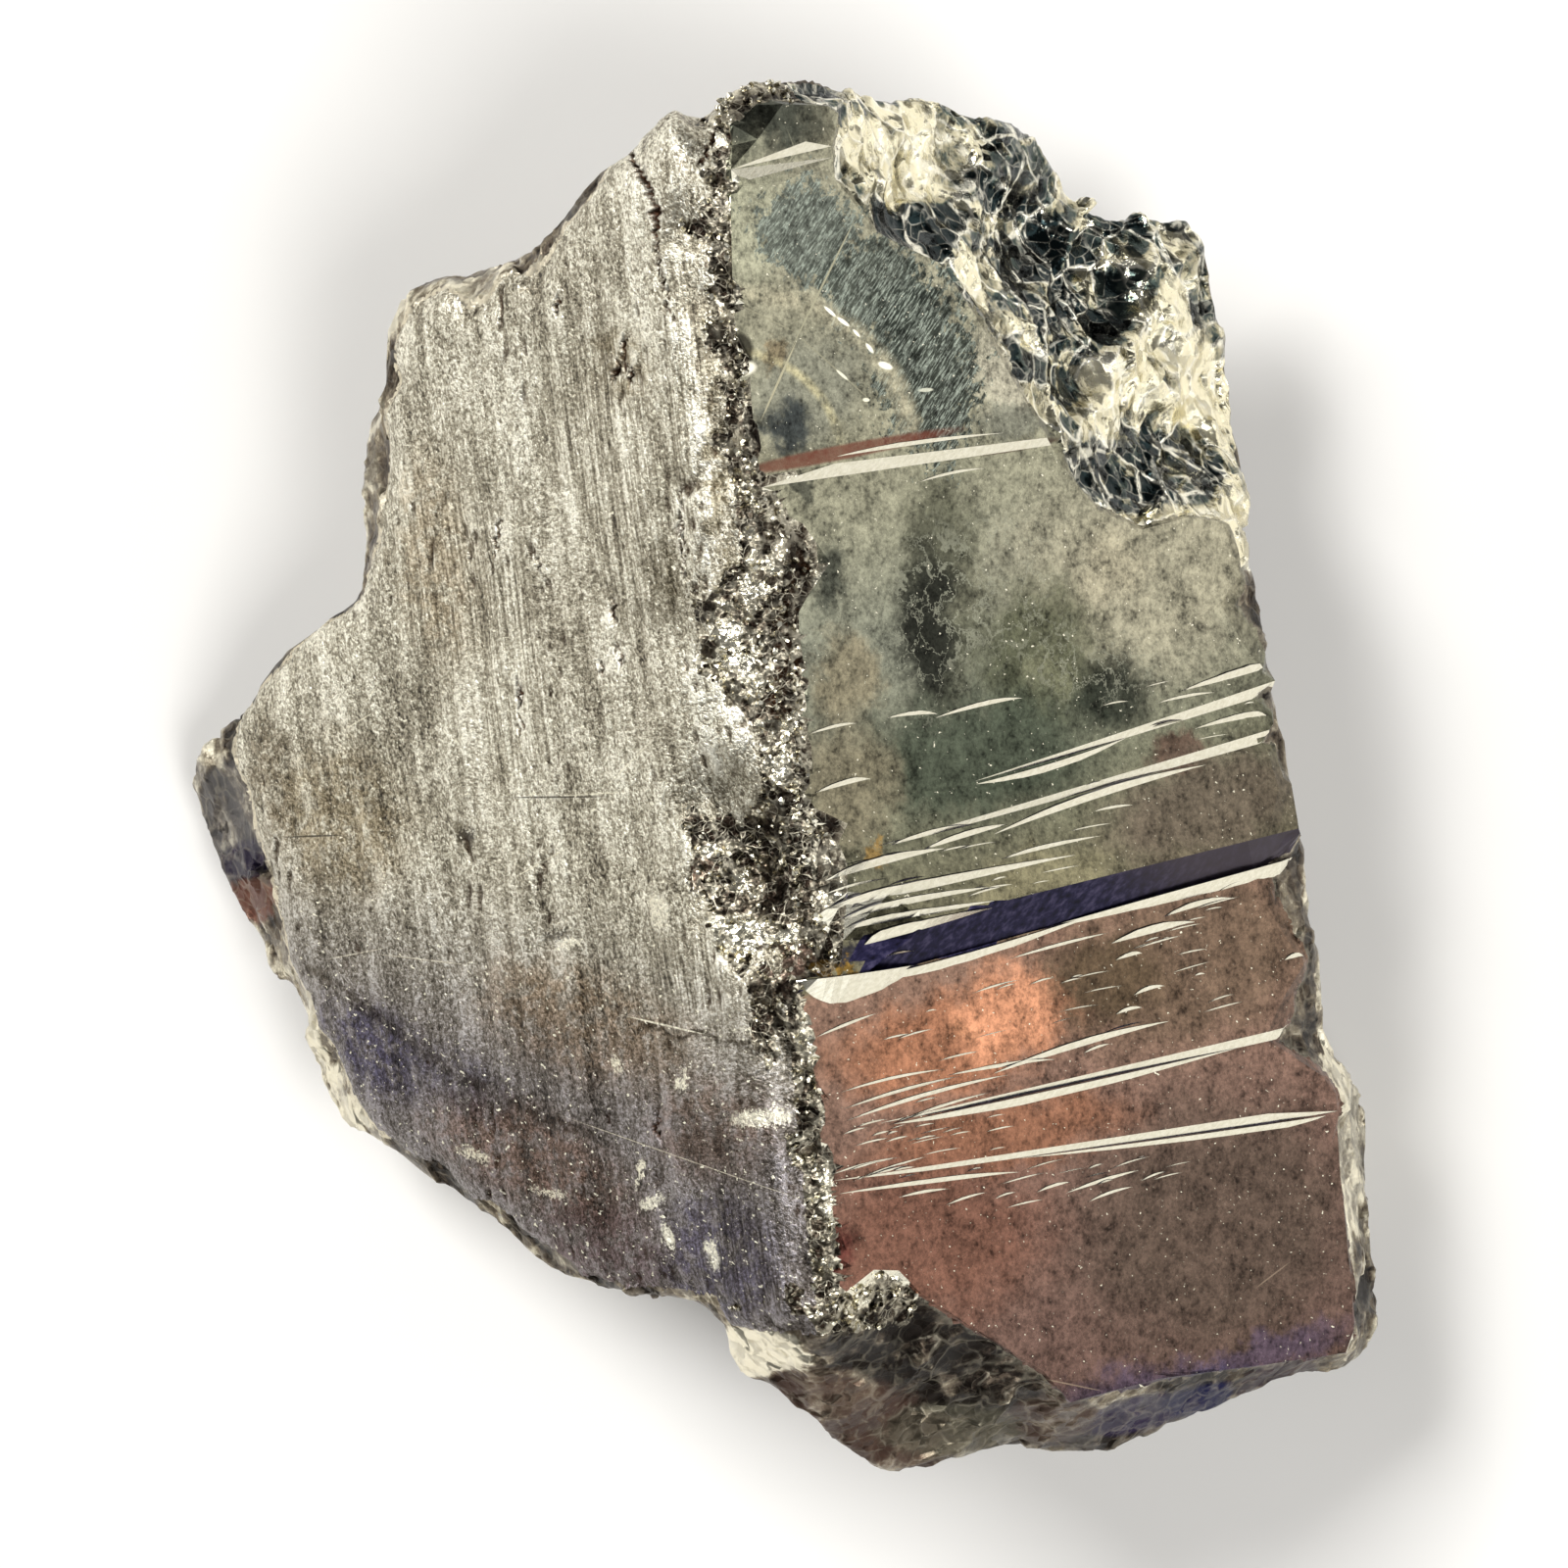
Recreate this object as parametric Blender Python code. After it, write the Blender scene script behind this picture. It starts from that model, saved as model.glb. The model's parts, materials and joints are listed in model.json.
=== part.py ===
"""Pyrite cluster: one intergrown lump of pyrite that lies on its broken back, crystal edge up.

Two cube faces of a large crystal meet in a worn ridge. The right face is smooth, with growth
ledges across it. The left face is striated and duller. One end of the right face has chipped
away in shell-like scoops, and the ends, the sides and the back are rough breaks.

Lengths below are millimetres and become metres once, in make_object. X is to the right, Y runs
along the ridge and Z is up from the surface that the lump rests on.
"""

import math

import bmesh
import bpy
import numpy as np
from mathutils import Euler, Vector, noise
from mathutils.geometry import delaunay_2d_cdt

MM = 0.001

# The crystal. Its cube faces are square to each other, and the edge leans and climbs a little.
EDGE_POINT = Vector((-1.0, 0.3, 32.5))
EDGE_TURN = math.radians(5.7)
EDGE_CLIMB = math.radians(5.0)
LEFT_SLOPE = math.radians(48.0)
RIGHT_SLOPE = math.pi / 2 - LEFT_SLOPE

# The rim, clockwise as seen from above: x, y, and how far it lies below its cube face.
FAR_RIM = [
    (-6.3, 26.4, 1.8), (-5.2, 28.0, 2.4), (-4.5, 28.2, 2.6), (-3.4, 27.7, 3.4),
    (-2.8, 28.3, 2.4), (-1.3, 29.4, 1.6), (-0.3, 29.2, 1.3), (3.3, 29.4, 2.4),
    (4.6, 29.1, 3.4), (5.5, 29.4, 3.6), (8.8, 28.8, 4.2), (10.0, 28.9, 4.2),
    (10.7, 28.3, 4.4), (11.9, 26.0, 4.6), (12.3, 25.4, 5.0), (13.9, 24.7, 5.0),
    (15.6, 24.9, 4.2), (17.1, 24.8, 4.0), (18.3, 23.9, 4.0),
]
RIGHT_RIM = [
    (18.7, 21.6, 4.0), (19.4, 17.0, 4.0), (19.8, 15.0, 3.6), (20.4, 13.2, 2.6),
    (20.2, 12.0, 1.8), (20.2, 10.6, 0.7), (21.5, 2.4, 0.5), (22.4, -3.2, 0.5),
    (23.0, -6.6, 0.7), (23.5, -7.9, 1.0), (23.6, -10.8, 1.4), (24.6, -12.1, 3.5),
    (25.5, -13.0, 5.0), (25.8, -14.8, 5.5), (25.7, -20.1, 4.6), (26.2, -23.2, 5.0),
    (25.8, -24.4, 4.5), (24.8, -25.5, 3.5),
]
NEAR_RIM = [
    (23.6, -25.4, 2.5), (21.1, -25.8, 2.5), (19.3, -26.4, 3.0), (15.3, -28.2, 4.5),
    (13.4, -28.6, 5.0), (12.1, -28.0, 4.8), (9.2, -28.3, 6.0), (7.3, -28.4, 6.5),
    (6.1, -28.8, 7.0), (4.4, -29.4, 8.0), (3.4, -28.6, 7.5), (2.2, -27.8, 7.0),
    (1.1, -26.0, 5.5), (-0.5, -24.8, 4.0), (-1.8, -24.7, 3.6), (-2.4, -23.7, 2.8),
    (-2.5, -22.4, 2.0), (-3.6, -21.6, 1.0), (-5.6, -21.3, 0.8), (-7.5, -21.5, 1.0),
    (-8.8, -20.9, 1.0), (-12.3, -18.8, 1.0), (-16.9, -15.8, 1.2), (-19.4, -14.2, 2.2),
]
LEFT_RIM = [
    (-20.1, -13.5, 2.4), (-20.9, -10.8, 2.0), (-20.9, -9.5, 1.0), (-21.2, -8.7, 1.5),
    (-22.3, -8.2, 2.5), (-23.0, -7.3, 3.0), (-23.2, -6.3, 3.0), (-24.4, -5.0, 3.0),
    (-25.1, -4.0, 3.2), (-26.2, -0.7, 3.0), (-26.2, 1.0, 2.5), (-25.9, 1.7, 2.0),
    (-24.9, 2.6, 1.2), (-23.1, 4.7, 0.6), (-20.9, 6.8, 0.6), (-18.3, 8.5, 0.6),
    (-18.2, 11.0, 2.0), (-17.9, 15.5, 2.5), (-17.5, 16.5, 2.2), (-17.1, 17.1, 1.2),
    (-17.1, 18.9, 1.2), (-16.9, 20.4, 1.6), (-16.1, 21.5, 2.0), (-14.9, 21.9, 2.6),
    (-12.7, 22.3, 4.2), (-11.0, 22.3, 2.4), (-10.3, 22.7, 1.0), (-8.3, 24.9, 0.8),
    (-7.5, 26.0, 0.9),
]
RIM_STEP = 1.3
EDGE_WEAR = 1.0  # width of the worn strip along a rim that has no break of its own

# Where each break or bevel starts. A line runs clockwise and its break lies between it and the rim.
SHELL_BREAK = [
    (2.5, 29.4), (2.0, 26.6), (2.1, 25.3), (3.8, 23.2), (6.6, 22.0), (8.3, 19.4),
    (10.7, 15.5), (11.8, 13.6), (13.3, 11.9), (15.2, 11.1), (17.3, 11.7), (20.2, 11.3),
]
NEAR_BREAK = [
    (23.6, -10.6), (23.8, -12.4), (24.1, -16.7), (24.5, -20.9), (24.7, -24.3),
    (21.1, -24.6), (15.8, -25.0), (12.1, -25.8), (10.9, -24.4), (8.2, -22.7),
    (5.7, -20.9), (4.3, -19.4), (2.0, -21.1), (0.0, -21.8), (-2.5, -22.1),
]
LEFT_CHIPS = [(-17.2, -15.7), (-18.4, -12.8), (-19.3, -10.7), (-20.9, -9.4)]
LEFT_BEVEL = [(-21.1, -8.8), (-21.6, -3.9), (-22.6, -0.5), (-23.4, 4.4)]
LEFT_STRIP = [(-18.3, 8.6), (-16.9, 10.3), (-16.5, 15.3), (-17.1, 17.0)]
FAR_RECESS = [(-14.2, 22.0), (-13.6, 19.6), (-13.0, 19.3), (-11.8, 20.8), (-10.6, 22.5)]

# The worn ridge: its left and right limits, from the far end to the near one.
RIDGE_LEFT = [
    (-6.3, 26.5), (-5.1, 22.6), (-4.4, 19.2), (-4.0, 15.2), (-3.5, 10.0), (-3.8, 6.4),
    (-4.0, 1.9), (-4.5, -2.1), (-4.1, -5.8), (-1.7, -7.8), (-0.9, -11.8), (-0.3, -15.8),
    (0.2, -21.5),
]
RIDGE_RIGHT = [
    (-2.0, 28.9), (-2.2, 24.8), (-2.1, 20.3), (-1.5, 13.5), (-0.4, 11.6), (0.6, 4.3),
    (1.0, -3.7), (1.2, -6.2), (0.3, -8.0), (1.3, -11.8), (1.8, -17.9), (2.1, -21.0),
]
RIDGE_WEAR = 1.7
RIDGE_GRAIN = 0.45

# Hollows and knobs on the ridge: centre x, y, half width along x and y, and depth (a knob's is below 0).
HOLLOWS = [
    (-2.6, -0.4, 1.3, 1.2, 1.1),
    (-0.9, -3.0, 1.6, 1.8, 1.5),
    (0.9, -6.3, 1.0, 0.7, 0.9),
    (-0.3, 8.6, 0.6, 2.4, 0.6),
    (-4.6, 25.6, 1.3, 2.0, -1.3),
    (-2.6, 26.6, 0.5, 1.8, 1.0),
]

# Growth ledges on the right face: foot line from x, y to x, y, width of the riser at either end,
# and the length over which it starts from nothing.
LEDGES = [
    ((-2.9, 24.6), (2.1, 26.2), 0.6, 0.45, 1.0),
    ((-1.3, 12.4), (12.6, 14.8), 0.6, 0.3, 1.0),
    ((8.0, 0.3), (22.6, 4.7), 0.12, 0.5, 2.0),
    ((4.3, -2.3), (22.9, 2.7), 0.12, 0.5, 2.0),
    ((2.9, -7.9), (23.6, -2.4), 1.8, 1.1, 0.4),
    ((4.0, -13.9), (24.2, -10.1), 0.15, 0.45, 2.0),
    ((2.0, -16.2), (24.6, -13.9), 0.12, 0.5, 2.0),
]
LEDGE_SLOPE = 0.6  # rise of a riser for its width
LEDGE_RUN = 5.0  # a ledge sinks back to the face over this distance

# Sides and base. The sides draw in below the rim to a rounder base, more where they are tall.
WALL_RINGS = 11
DRAW_IN = 1.6
DRAW_IN_PER_HEIGHT = 0.1
CORE_SPAN = 7  # rim corners to either side that the rounder base evens out
WALL_SCOOP_SIZE = 8.0
WALL_SCOOP_DEPTH = 1.8
BASE_HOLLOW = 1.1
BASE_PAD = 7.0  # radius of the flat middle that the lump rests on
BASE_STEP = 2.6

FINE_STEP = 0.78
COARSE_STEP = 1.8
LEAST_GAP = 0.4

PYRITE_COLOUR = (0.45, 0.40, 0.29, 1.0)


def ring(line):
    """A closed outline as an array whose last row repeats the first."""
    return np.array(list(line) + [line[0]], dtype=float)


RIM = ring(FAR_RIM + RIGHT_RIM + NEAR_RIM + LEFT_RIM)


def nearest(line, x, y):
    """Distance from a line of points, and where on it the nearest place is, in segments."""
    start = line[:-1, :2]
    span = line[1:, :2] - start
    spot = np.array((x, y))
    along = ((spot - start) * span).sum(axis=1) / (span * span).sum(axis=1)
    along = np.clip(along, 0.0, 1.0)
    gaps = np.linalg.norm(start + span * along[:, None] - spot, axis=1)
    segment = int(gaps.argmin())
    return float(gaps[segment]), segment + float(along[segment])


def inside(outline, x, y):
    """Whether a closed outline holds the point."""
    x0, y0 = outline[:-1, 0], outline[:-1, 1]
    x1, y1 = outline[1:, 0], outline[1:, 1]
    crosses = (y0 > y) != (y1 > y)
    rise = np.where(crosses, y1 - y0, 1.0)
    return bool((crosses & (x < x0 + (x1 - x0) * (y - y0) / rise)).sum() % 2)


def rim_drop(place):
    """How far the rim lies below its cube face at a place along it."""
    segment = min(int(place), len(RIM) - 2)
    return RIM[segment, 2] + (RIM[segment + 1, 2] - RIM[segment, 2]) * (place - segment)


def break_outline(line):
    """The outline of a break: its starting line, then the rim back to where that line began."""
    first = math.ceil(nearest(RIM, *line[0])[1])
    last = math.floor(nearest(RIM, *line[-1])[1])
    return ring(list(line) + [tuple(RIM[i, :2]) for i in range(last, first - 1, -1)])


# Each break: starting line, outline, drop at its lip, and depth, size and roughness of its scoops.
BREAKS = [
    (np.array(line), break_outline(line), lip, depth, size, rough)
    for line, lip, depth, size, rough in (
        (SHELL_BREAK, 0.6, 2.1, 3.8, 0.3),
        (NEAR_BREAK, 0.1, 1.3, 3.2, 0.5),
        (LEFT_CHIPS, 0.2, 0.8, 2.2, 0.3),
        (LEFT_BEVEL, 0.0, 0.0, 2.0, 0.1),
        (LEFT_STRIP, 0.1, 0.4, 2.0, 0.4),
        (FAR_RECESS, 0.3, 0.8, 2.4, 0.4),
    )
]
LIP_WIDTH = 0.45


def smooth(value):
    """Eases 0 to 1 into 0 to 1, flat at both ends."""
    value = min(max(value, 0.0), 1.0)
    return value * value * (3.0 - 2.0 * value)


def face_height(slope, side, x, y):
    """Height of a cube face above (x, y). side is -1 for the left face and 1 for the right."""
    turn = Euler((EDGE_CLIMB, 0.0, 0.0)).to_matrix()
    turn.rotate(Euler((0.0, 0.0, EDGE_TURN)))
    normal = turn @ Vector((side * math.sin(slope), 0.0, math.cos(slope)))
    offset = normal.x * (x - EDGE_POINT.x) + normal.y * (y - EDGE_POINT.y)
    return EDGE_POINT.z - offset / normal.z


def cube_faces(x, y):
    """Heights of the left and the right cube face."""
    return face_height(LEFT_SLOPE, -1, x, y), face_height(RIGHT_SLOPE, 1, x, y)


def ridge_place(x, y):
    """0 at either limit of the worn ridge, 1 on the crystal edge and 0 outside."""
    left = np.interp(-y, [-p[1] for p in RIDGE_LEFT], [p[0] for p in RIDGE_LEFT])
    right = np.interp(-y, [-p[1] for p in RIDGE_RIGHT], [p[0] for p in RIDGE_RIGHT])
    edge = EDGE_POINT.x - math.tan(EDGE_TURN) * (y - EDGE_POINT.y)
    if x < edge:
        return max(0.0, (x - left) / max(edge - left, 0.4))
    return max(0.0, (right - x) / max(right - edge, 0.4))


def scoops(x, y, z, size):
    """1 in the middle of a shell-like scoop and 0 on the sharp crest between two."""
    near, far = noise.voronoi(Vector((x, y, z)) / size)[0][:2]
    return max(0.0, 1.0 - near * near / max(0.2, far * far))


def grain(x, y, z, size):
    """Even roughness between -1 and 1 at a given size."""
    return noise.fractal(Vector((x, y, z)) / size, 0.7, 2.0, 3)


def ledge_rise(ledge, x, y):
    """How much a growth ledge lifts the face: a riser above its foot, then a slow fall."""
    (x0, y0), (x1, y1), start_width, end_width, taper = ledge
    along = Vector((x1 - x0, y1 - y0))
    length = along.length
    along.normalize()
    reach = (x - x0) * along.x + (y - y0) * along.y
    above = (y - y0) * along.x - (x - x0) * along.y
    riser = start_width + (end_width - start_width) * min(reach / length, 1.0)
    if above <= 0.0 or reach <= 0.0 or above > riser + LEDGE_RUN:
        return 0.0
    start = smooth(reach / taper)
    end = smooth((length - reach) / taper) if inside(RIM, x1, y1) else 1.0
    profile = above / riser if above < riser else 1.0 - (above - riser) / LEDGE_RUN
    return LEDGE_SLOPE * riser * profile * start * end


def break_drop(x, y):
    """How far the breaks and the worn rim lie below the cube faces."""
    to_rim, place = nearest(RIM, x, y)
    depth = rim_drop(place)
    drop = depth * max(0.0, 1.0 - to_rim / EDGE_WEAR) ** 1.5
    for line, outline, lip, scoop_depth, scoop_size, rough in BREAKS:
        on_rim = to_rim < 0.01 and nearest(outline, x, y)[0] < 0.01
        if not on_rim and not inside(outline, x, y):
            continue
        to_line = nearest(line, x, y)[0]
        ruled = depth * to_line / (to_line + to_rim + 1e-6)
        ruled += lip * min(1.0, to_line / LIP_WIDTH)
        relief = scoop_depth * (scoops(x, y, 0.0, scoop_size) - 0.3)
        relief += rough * grain(x, y, 3.0, 2.0)
        drop = max(drop, ruled + relief * min(1.0, to_line / 1.3))
    return drop


def front_height(x, y):
    """Height of the front, the side that faces up."""
    left, right = cube_faces(x, y)
    height = min(left, right)
    if left < right:
        height += 0.12 * grain(x, y, 7.0, 3.0)
    else:
        height += sum(ledge_rise(ledge, x, y) for ledge in LEDGES)
    ridge = ridge_place(x, y)
    wear = RIDGE_WEAR * ridge**1.3 + RIDGE_GRAIN * min(1.0, 2.5 * ridge) * grain(x, y, 0.0, 1.6)
    for cx, cy, wide, long, depth in HOLLOWS:
        away = ((x - cx) / wide) ** 2 + ((y - cy) / long) ** 2
        wear += depth * math.exp(-away)
    return max(2.0, height - max(wear, break_drop(x, y)))


def divided(line, step):
    """A line of points with long segments divided."""
    points = [Vector(line[0][:2])]
    for end in line[1:]:
        end = Vector(end[:2])
        start = points[-1]
        count = max(1, round((end - start).length / step))
        points += [start.lerp(end, i / count) for i in range(1, count + 1)]
    return points


def ledge_lines():
    """Foot and top line of each growth ledge."""
    for (x0, y0), (x1, y1), start_width, end_width, taper in LEDGES:
        start = Vector((x0, y0))
        end = Vector((x1, y1))
        across = Vector((y0 - y1, x1 - x0)).normalized()
        yield divided([start, end], 2 * COARSE_STEP)
        top = [start + across * start_width, end + across * end_width]
        yield divided(top, 2 * COARSE_STEP)


def rough_at(x, y):
    """Whether the front is rough here and needs the fine spacing."""
    if ridge_place(x, y) > 0.0:
        return True
    return any(inside(outline, x, y) for line, outline, *_ in BREAKS)


def lattice(step, outline, wanted):
    """Points of a jittered triangular lattice inside an outline."""
    low = outline.min(axis=0)
    high = outline.max(axis=0)
    rows = int((high[1] - low[1]) / (step * 0.866)) + 1
    columns = int((high[0] - low[0]) / step) + 1
    for row in range(rows):
        for column in range(columns):
            x = low[0] + step * (column + 0.5 * (row % 2))
            y = low[1] + step * 0.866 * row
            x += 0.25 * step * noise.noise(Vector((x, y, 11.0)))
            y += 0.25 * step * noise.noise(Vector((x, y, 23.0)))
            if inside(outline, x, y) and wanted(x, y):
                yield Vector((x, y))


def triangulated(outline, lines, points):
    """Triangles of an outline, with the lines as edges and the points as corners."""
    spots = list(outline)
    edges = [(i, (i + 1) % len(outline)) for i in range(len(outline))]
    for line in lines:
        first = len(spots)
        spots += line
        edges += [(i, i + 1) for i in range(first, len(spots) - 1)]
    walls = [np.array([tuple(spots[a]), tuple(spots[b])]) for a, b in edges]
    starts = np.array([wall[0] for wall in walls])
    spans = np.array([wall[1] for wall in walls]) - starts
    lengths = (spans * spans).sum(axis=1)
    for point in points:
        spot = np.array(point)
        along = np.clip(((spot - starts) * spans).sum(axis=1) / lengths, 0.0, 1.0)
        gaps = np.linalg.norm(starts + spans * along[:, None] - spot, axis=1)
        if gaps.min() > LEAST_GAP:
            spots.append(point)
    spots, _, faces, *_ = delaunay_2d_cdt(spots, edges, [], 0, 1e-5)
    closed = ring([tuple(p) for p in outline])
    kept = []
    for face in faces:
        middle = sum((spots[i] for i in face), Vector((0.0, 0.0))) / 3
        if inside(closed, middle.x, middle.y):
            kept.append(tuple(face))
    return spots, kept


def boundary(faces):
    """The corners round the outside of the triangles, in order."""
    edges = {(face[i], face[(i + 1) % 3]) for face in faces for i in range(3)}
    after = {a: b for a, b in edges if (b, a) not in edges}
    loop = [min(after)]
    while after[loop[-1]] != loop[0]:
        loop.append(after[loop[-1]])
    return loop


def front_surface(mesh):
    """Builds the front and returns its rim corners, counterclockwise from above."""
    outline = divided(RIM, RIM_STEP)[:-1]
    lines = [divided(line, FINE_STEP) for line in (RIDGE_LEFT, RIDGE_RIGHT)]
    lines += [divided(line, FINE_STEP) for line, *_ in BREAKS]
    lines += list(ledge_lines())
    points = list(lattice(FINE_STEP, RIM[:, :2], rough_at))
    points += list(lattice(COARSE_STEP, RIM[:, :2], lambda x, y: not rough_at(x, y)))
    spots, faces = triangulated(outline, lines, points)
    used = sorted({i for face in faces for i in face})
    corners = {i: mesh.verts.new((*spots[i], front_height(*spots[i]))) for i in used}
    for face in faces:
        mesh.faces.new([corners[i] for i in face])
    return [corners[i] for i in boundary(faces)]


def core_insets(rim):
    """How far a rounder outline lies inside each rim corner."""
    reach = [Vector(corner.co[:2]).length for corner in rim]
    count = len(reach)
    span = range(-CORE_SPAN, CORE_SPAN + 1)
    least = [min(reach[(i + k) % count] for k in span) for i in range(count)]
    core = [sum(least[(i + k) % count] for k in span) / len(span) for i in range(count)]
    return [reach[i] - core[i] for i in range(count)]


def wall_point(corner, inset, part):
    """A point on the wall below a rim corner: part is 0 at the rim and 1 at the base."""
    out = Vector((corner.x, corner.y))
    reach = out.length
    height = corner.z * (1.0 - part)
    inward = (DRAW_IN + DRAW_IN_PER_HEIGHT * corner.z) * part**1.5 + inset * smooth(1.2 * part)
    core = out * (1.0 - inward / reach)
    relief = smooth(part / 0.35)
    inward += relief * WALL_SCOOP_DEPTH * scoops(core.x, core.y, height, WALL_SCOOP_SIZE)
    inward += relief * 0.4 * grain(core.x, core.y, height, 3.0)
    return Vector((*(out * (1.0 - max(inward, 0.15 * part) / reach)), height))


def walls(mesh, rim):
    """Builds the sides below the rim and returns the ring of corners at the base."""
    upper = rim
    count = len(rim)
    insets = core_insets(rim)
    for number in range(1, WALL_RINGS + 1):
        part = number / WALL_RINGS
        lower = [
            mesh.verts.new(wall_point(corner.co, inset, part)) for corner, inset in zip(rim, insets)
        ]
        for i in range(count):
            j = (i + 1) % count
            mesh.faces.new((upper[i], lower[i], lower[j], upper[j]))
        upper = lower
    return upper


def base_height(x, y, outline):
    """Height of the underside: flat where it rests, with shallow hollows between."""
    middle = smooth((math.hypot(x, y) - BASE_PAD) / 3.0)
    edge = smooth(nearest(outline, x, y)[0] / 3.0)
    return BASE_HOLLOW * middle * edge * max(0.0, scoops(x, y, 40.0, 9.0) - 0.35)


def base(mesh, foot):
    """Closes the solid below."""
    outline = [Vector(corner.co[:2]) for corner in foot]
    closed = ring([tuple(p) for p in outline])
    points = lattice(BASE_STEP, closed, lambda x, y: True)
    spots, faces = triangulated(outline, [], points)
    corners = {}
    for i in sorted({i for face in faces for i in face}):
        if i < len(foot):
            corners[i] = foot[i]
        else:
            corners[i] = mesh.verts.new((*spots[i], base_height(*spots[i], closed)))
    for face in faces:
        mesh.faces.new([corners[i] for i in reversed(face)])


def pyrite():
    """Untarnished pyrite: a pale brassy metal."""
    material = bpy.data.materials.new("pyrite")
    material.use_nodes = True
    shader = material.node_tree.nodes["Principled BSDF"]
    shader.inputs["Base Color"].default_value = PYRITE_COLOUR
    shader.inputs["Metallic"].default_value = 0.9
    shader.inputs["Roughness"].default_value = 0.35
    return material


def make_object():
    """The whole lump as one closed mesh."""
    mesh = bmesh.new()
    rim = front_surface(mesh)
    foot = walls(mesh, rim)
    base(mesh, foot)
    bmesh.ops.triangulate(mesh, faces=mesh.faces[:])
    bmesh.ops.recalc_face_normals(mesh, faces=mesh.faces[:])
    bmesh.ops.scale(mesh, vec=(MM, MM, MM), verts=mesh.verts[:])
    data = bpy.data.meshes.new("pyrite_cluster")
    mesh.to_mesh(data)
    mesh.free()
    data.materials.append(pyrite())
    lump = bpy.data.objects.new("pyrite_cluster", data)
    bpy.context.collection.objects.link(lump)
    return lump


for old in list(bpy.data.objects):
    bpy.data.objects.remove(old, do_unlink=True)
make_object()
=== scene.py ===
"""Dresses the pyrite cluster: the lump's fine surface, its growth ledges, its ridge grains and the
studio it stands in. Lengths are millimetres in the constants below and metres in the properties."""

import json
import math
import random

import bpy
import numpy as np
from mathutils import Euler, Matrix, Vector, noise
from mathutils.bvhtree import BVHTree

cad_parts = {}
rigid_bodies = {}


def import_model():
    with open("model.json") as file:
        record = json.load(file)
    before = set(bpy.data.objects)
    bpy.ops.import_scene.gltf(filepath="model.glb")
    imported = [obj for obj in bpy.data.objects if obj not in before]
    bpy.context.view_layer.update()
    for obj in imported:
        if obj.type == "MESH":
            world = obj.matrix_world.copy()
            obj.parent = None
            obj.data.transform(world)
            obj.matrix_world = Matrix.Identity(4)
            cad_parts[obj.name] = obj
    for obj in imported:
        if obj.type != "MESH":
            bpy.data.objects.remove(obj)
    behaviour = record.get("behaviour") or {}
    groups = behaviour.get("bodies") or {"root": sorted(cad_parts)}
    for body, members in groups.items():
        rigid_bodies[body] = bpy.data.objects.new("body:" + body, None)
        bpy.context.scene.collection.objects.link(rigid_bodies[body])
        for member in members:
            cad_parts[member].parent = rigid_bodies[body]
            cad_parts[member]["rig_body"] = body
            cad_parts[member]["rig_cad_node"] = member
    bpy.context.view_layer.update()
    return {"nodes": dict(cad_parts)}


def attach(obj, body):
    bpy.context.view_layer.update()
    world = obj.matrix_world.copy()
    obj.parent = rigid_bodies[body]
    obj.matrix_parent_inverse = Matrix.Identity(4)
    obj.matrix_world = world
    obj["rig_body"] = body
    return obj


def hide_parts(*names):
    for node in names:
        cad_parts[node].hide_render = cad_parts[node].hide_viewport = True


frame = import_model()

bl_info = {
    "name": "Pyrite Cluster",
    "version": (1, 0, 0),
    "blender": (4, 5, 0),
    "location": "3D View > Sidebar > Pyrite",
    "description": "Builds a pyrite cluster with its ledges, grains and studio",
    "category": "Add Mesh",
}

MM = 0.001

# Blender turns its noise by a number taken from the clock, until it is given a seed.
NOISE_SEED = 5
# Seeds of the short ledges' places, of the ledges' bends, and of the grains.
FIELD_SEED, LEDGE_SEED, GRAIN_SEED = 71, 5, 11

# The crystal that the lump is broken from: a point on its edge, and how its two cube faces lie.
EDGE_POINT = Vector((-1.0, 0.3, 32.5))
EDGE_TURN = math.radians(5.7)
EDGE_CLIMB = math.radians(5.0)
LEFT_SLOPE = math.radians(48.0)
RIGHT_SLOPE = math.radians(42.0)

# Kinds of surface on the lump.
KINDS = range(7)
SMOOTH_FACE, STRIATED_FACE, RIDGE, FRESH_BREAK, OLD_BREAK, SIDE, UNDERSIDE = KINDS
# Where they end: how far up a surface looks to count as front, and down as underside; where the
# fresh break begins along y; how far the ridge reaches from the crystal's edge, and along y; and
# how deep below a cube face its own surface still lies.
FRONT_LOOKS_UP, UNDERSIDE_LOOKS_UP = 0.12, -0.85
FRESH_BREAK_Y, RIDGE_REACH, RIDGE_END_Y = 9.5, 6.2, -22.3
SMOOTH_DEPTH, STRIATED_DEPTH = 0.1, 0.32

# The lump's materials in order, and the one that each kind of surface has.
TARNISHED, STRIATED, CRUSTED, FRESH, WEATHERED, VIOLET, CLEAN = range(7)
KIND_MATERIALS = [TARNISHED, STRIATED, CRUSTED, FRESH, WEATHERED, WEATHERED, WEATHERED]
# The foot of the tall violet ledge: its left end, how much it climbs along x, and its height
# along y. Its flat upper strip runs between two places along x.
TALL_LEDGE, TALL_CLIMB, TALL_HEIGHT = (2.9, -7.9), 0.2657, 2.0
TALL_STRIP, STRIP_HEIGHT = (3.0, 9.0), 1.75

# How far apart the corners of the mesh lie on each kind, across and along the crystal's edge.
SPACING = {
    SMOOTH_FACE: (1.1, 1.1),
    STRIATED_FACE: (0.16, 0.45),
    RIDGE: (0.15, 0.15),
    FRESH_BREAK: (0.15, 0.15),
    OLD_BREAK: (0.24, 0.24),
    SIDE: (0.6, 0.6),
    UNDERSIDE: (1.3, 1.3),
}
CRACK_SPACING = 0.09
# An edge is divided when it is longer than this share of its spacing.
EDGE_EXCESS = 1.45
# Two faces that look in directions closer than this cosine are taken as flat.
FLAT_COSINE = 0.9975

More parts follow.
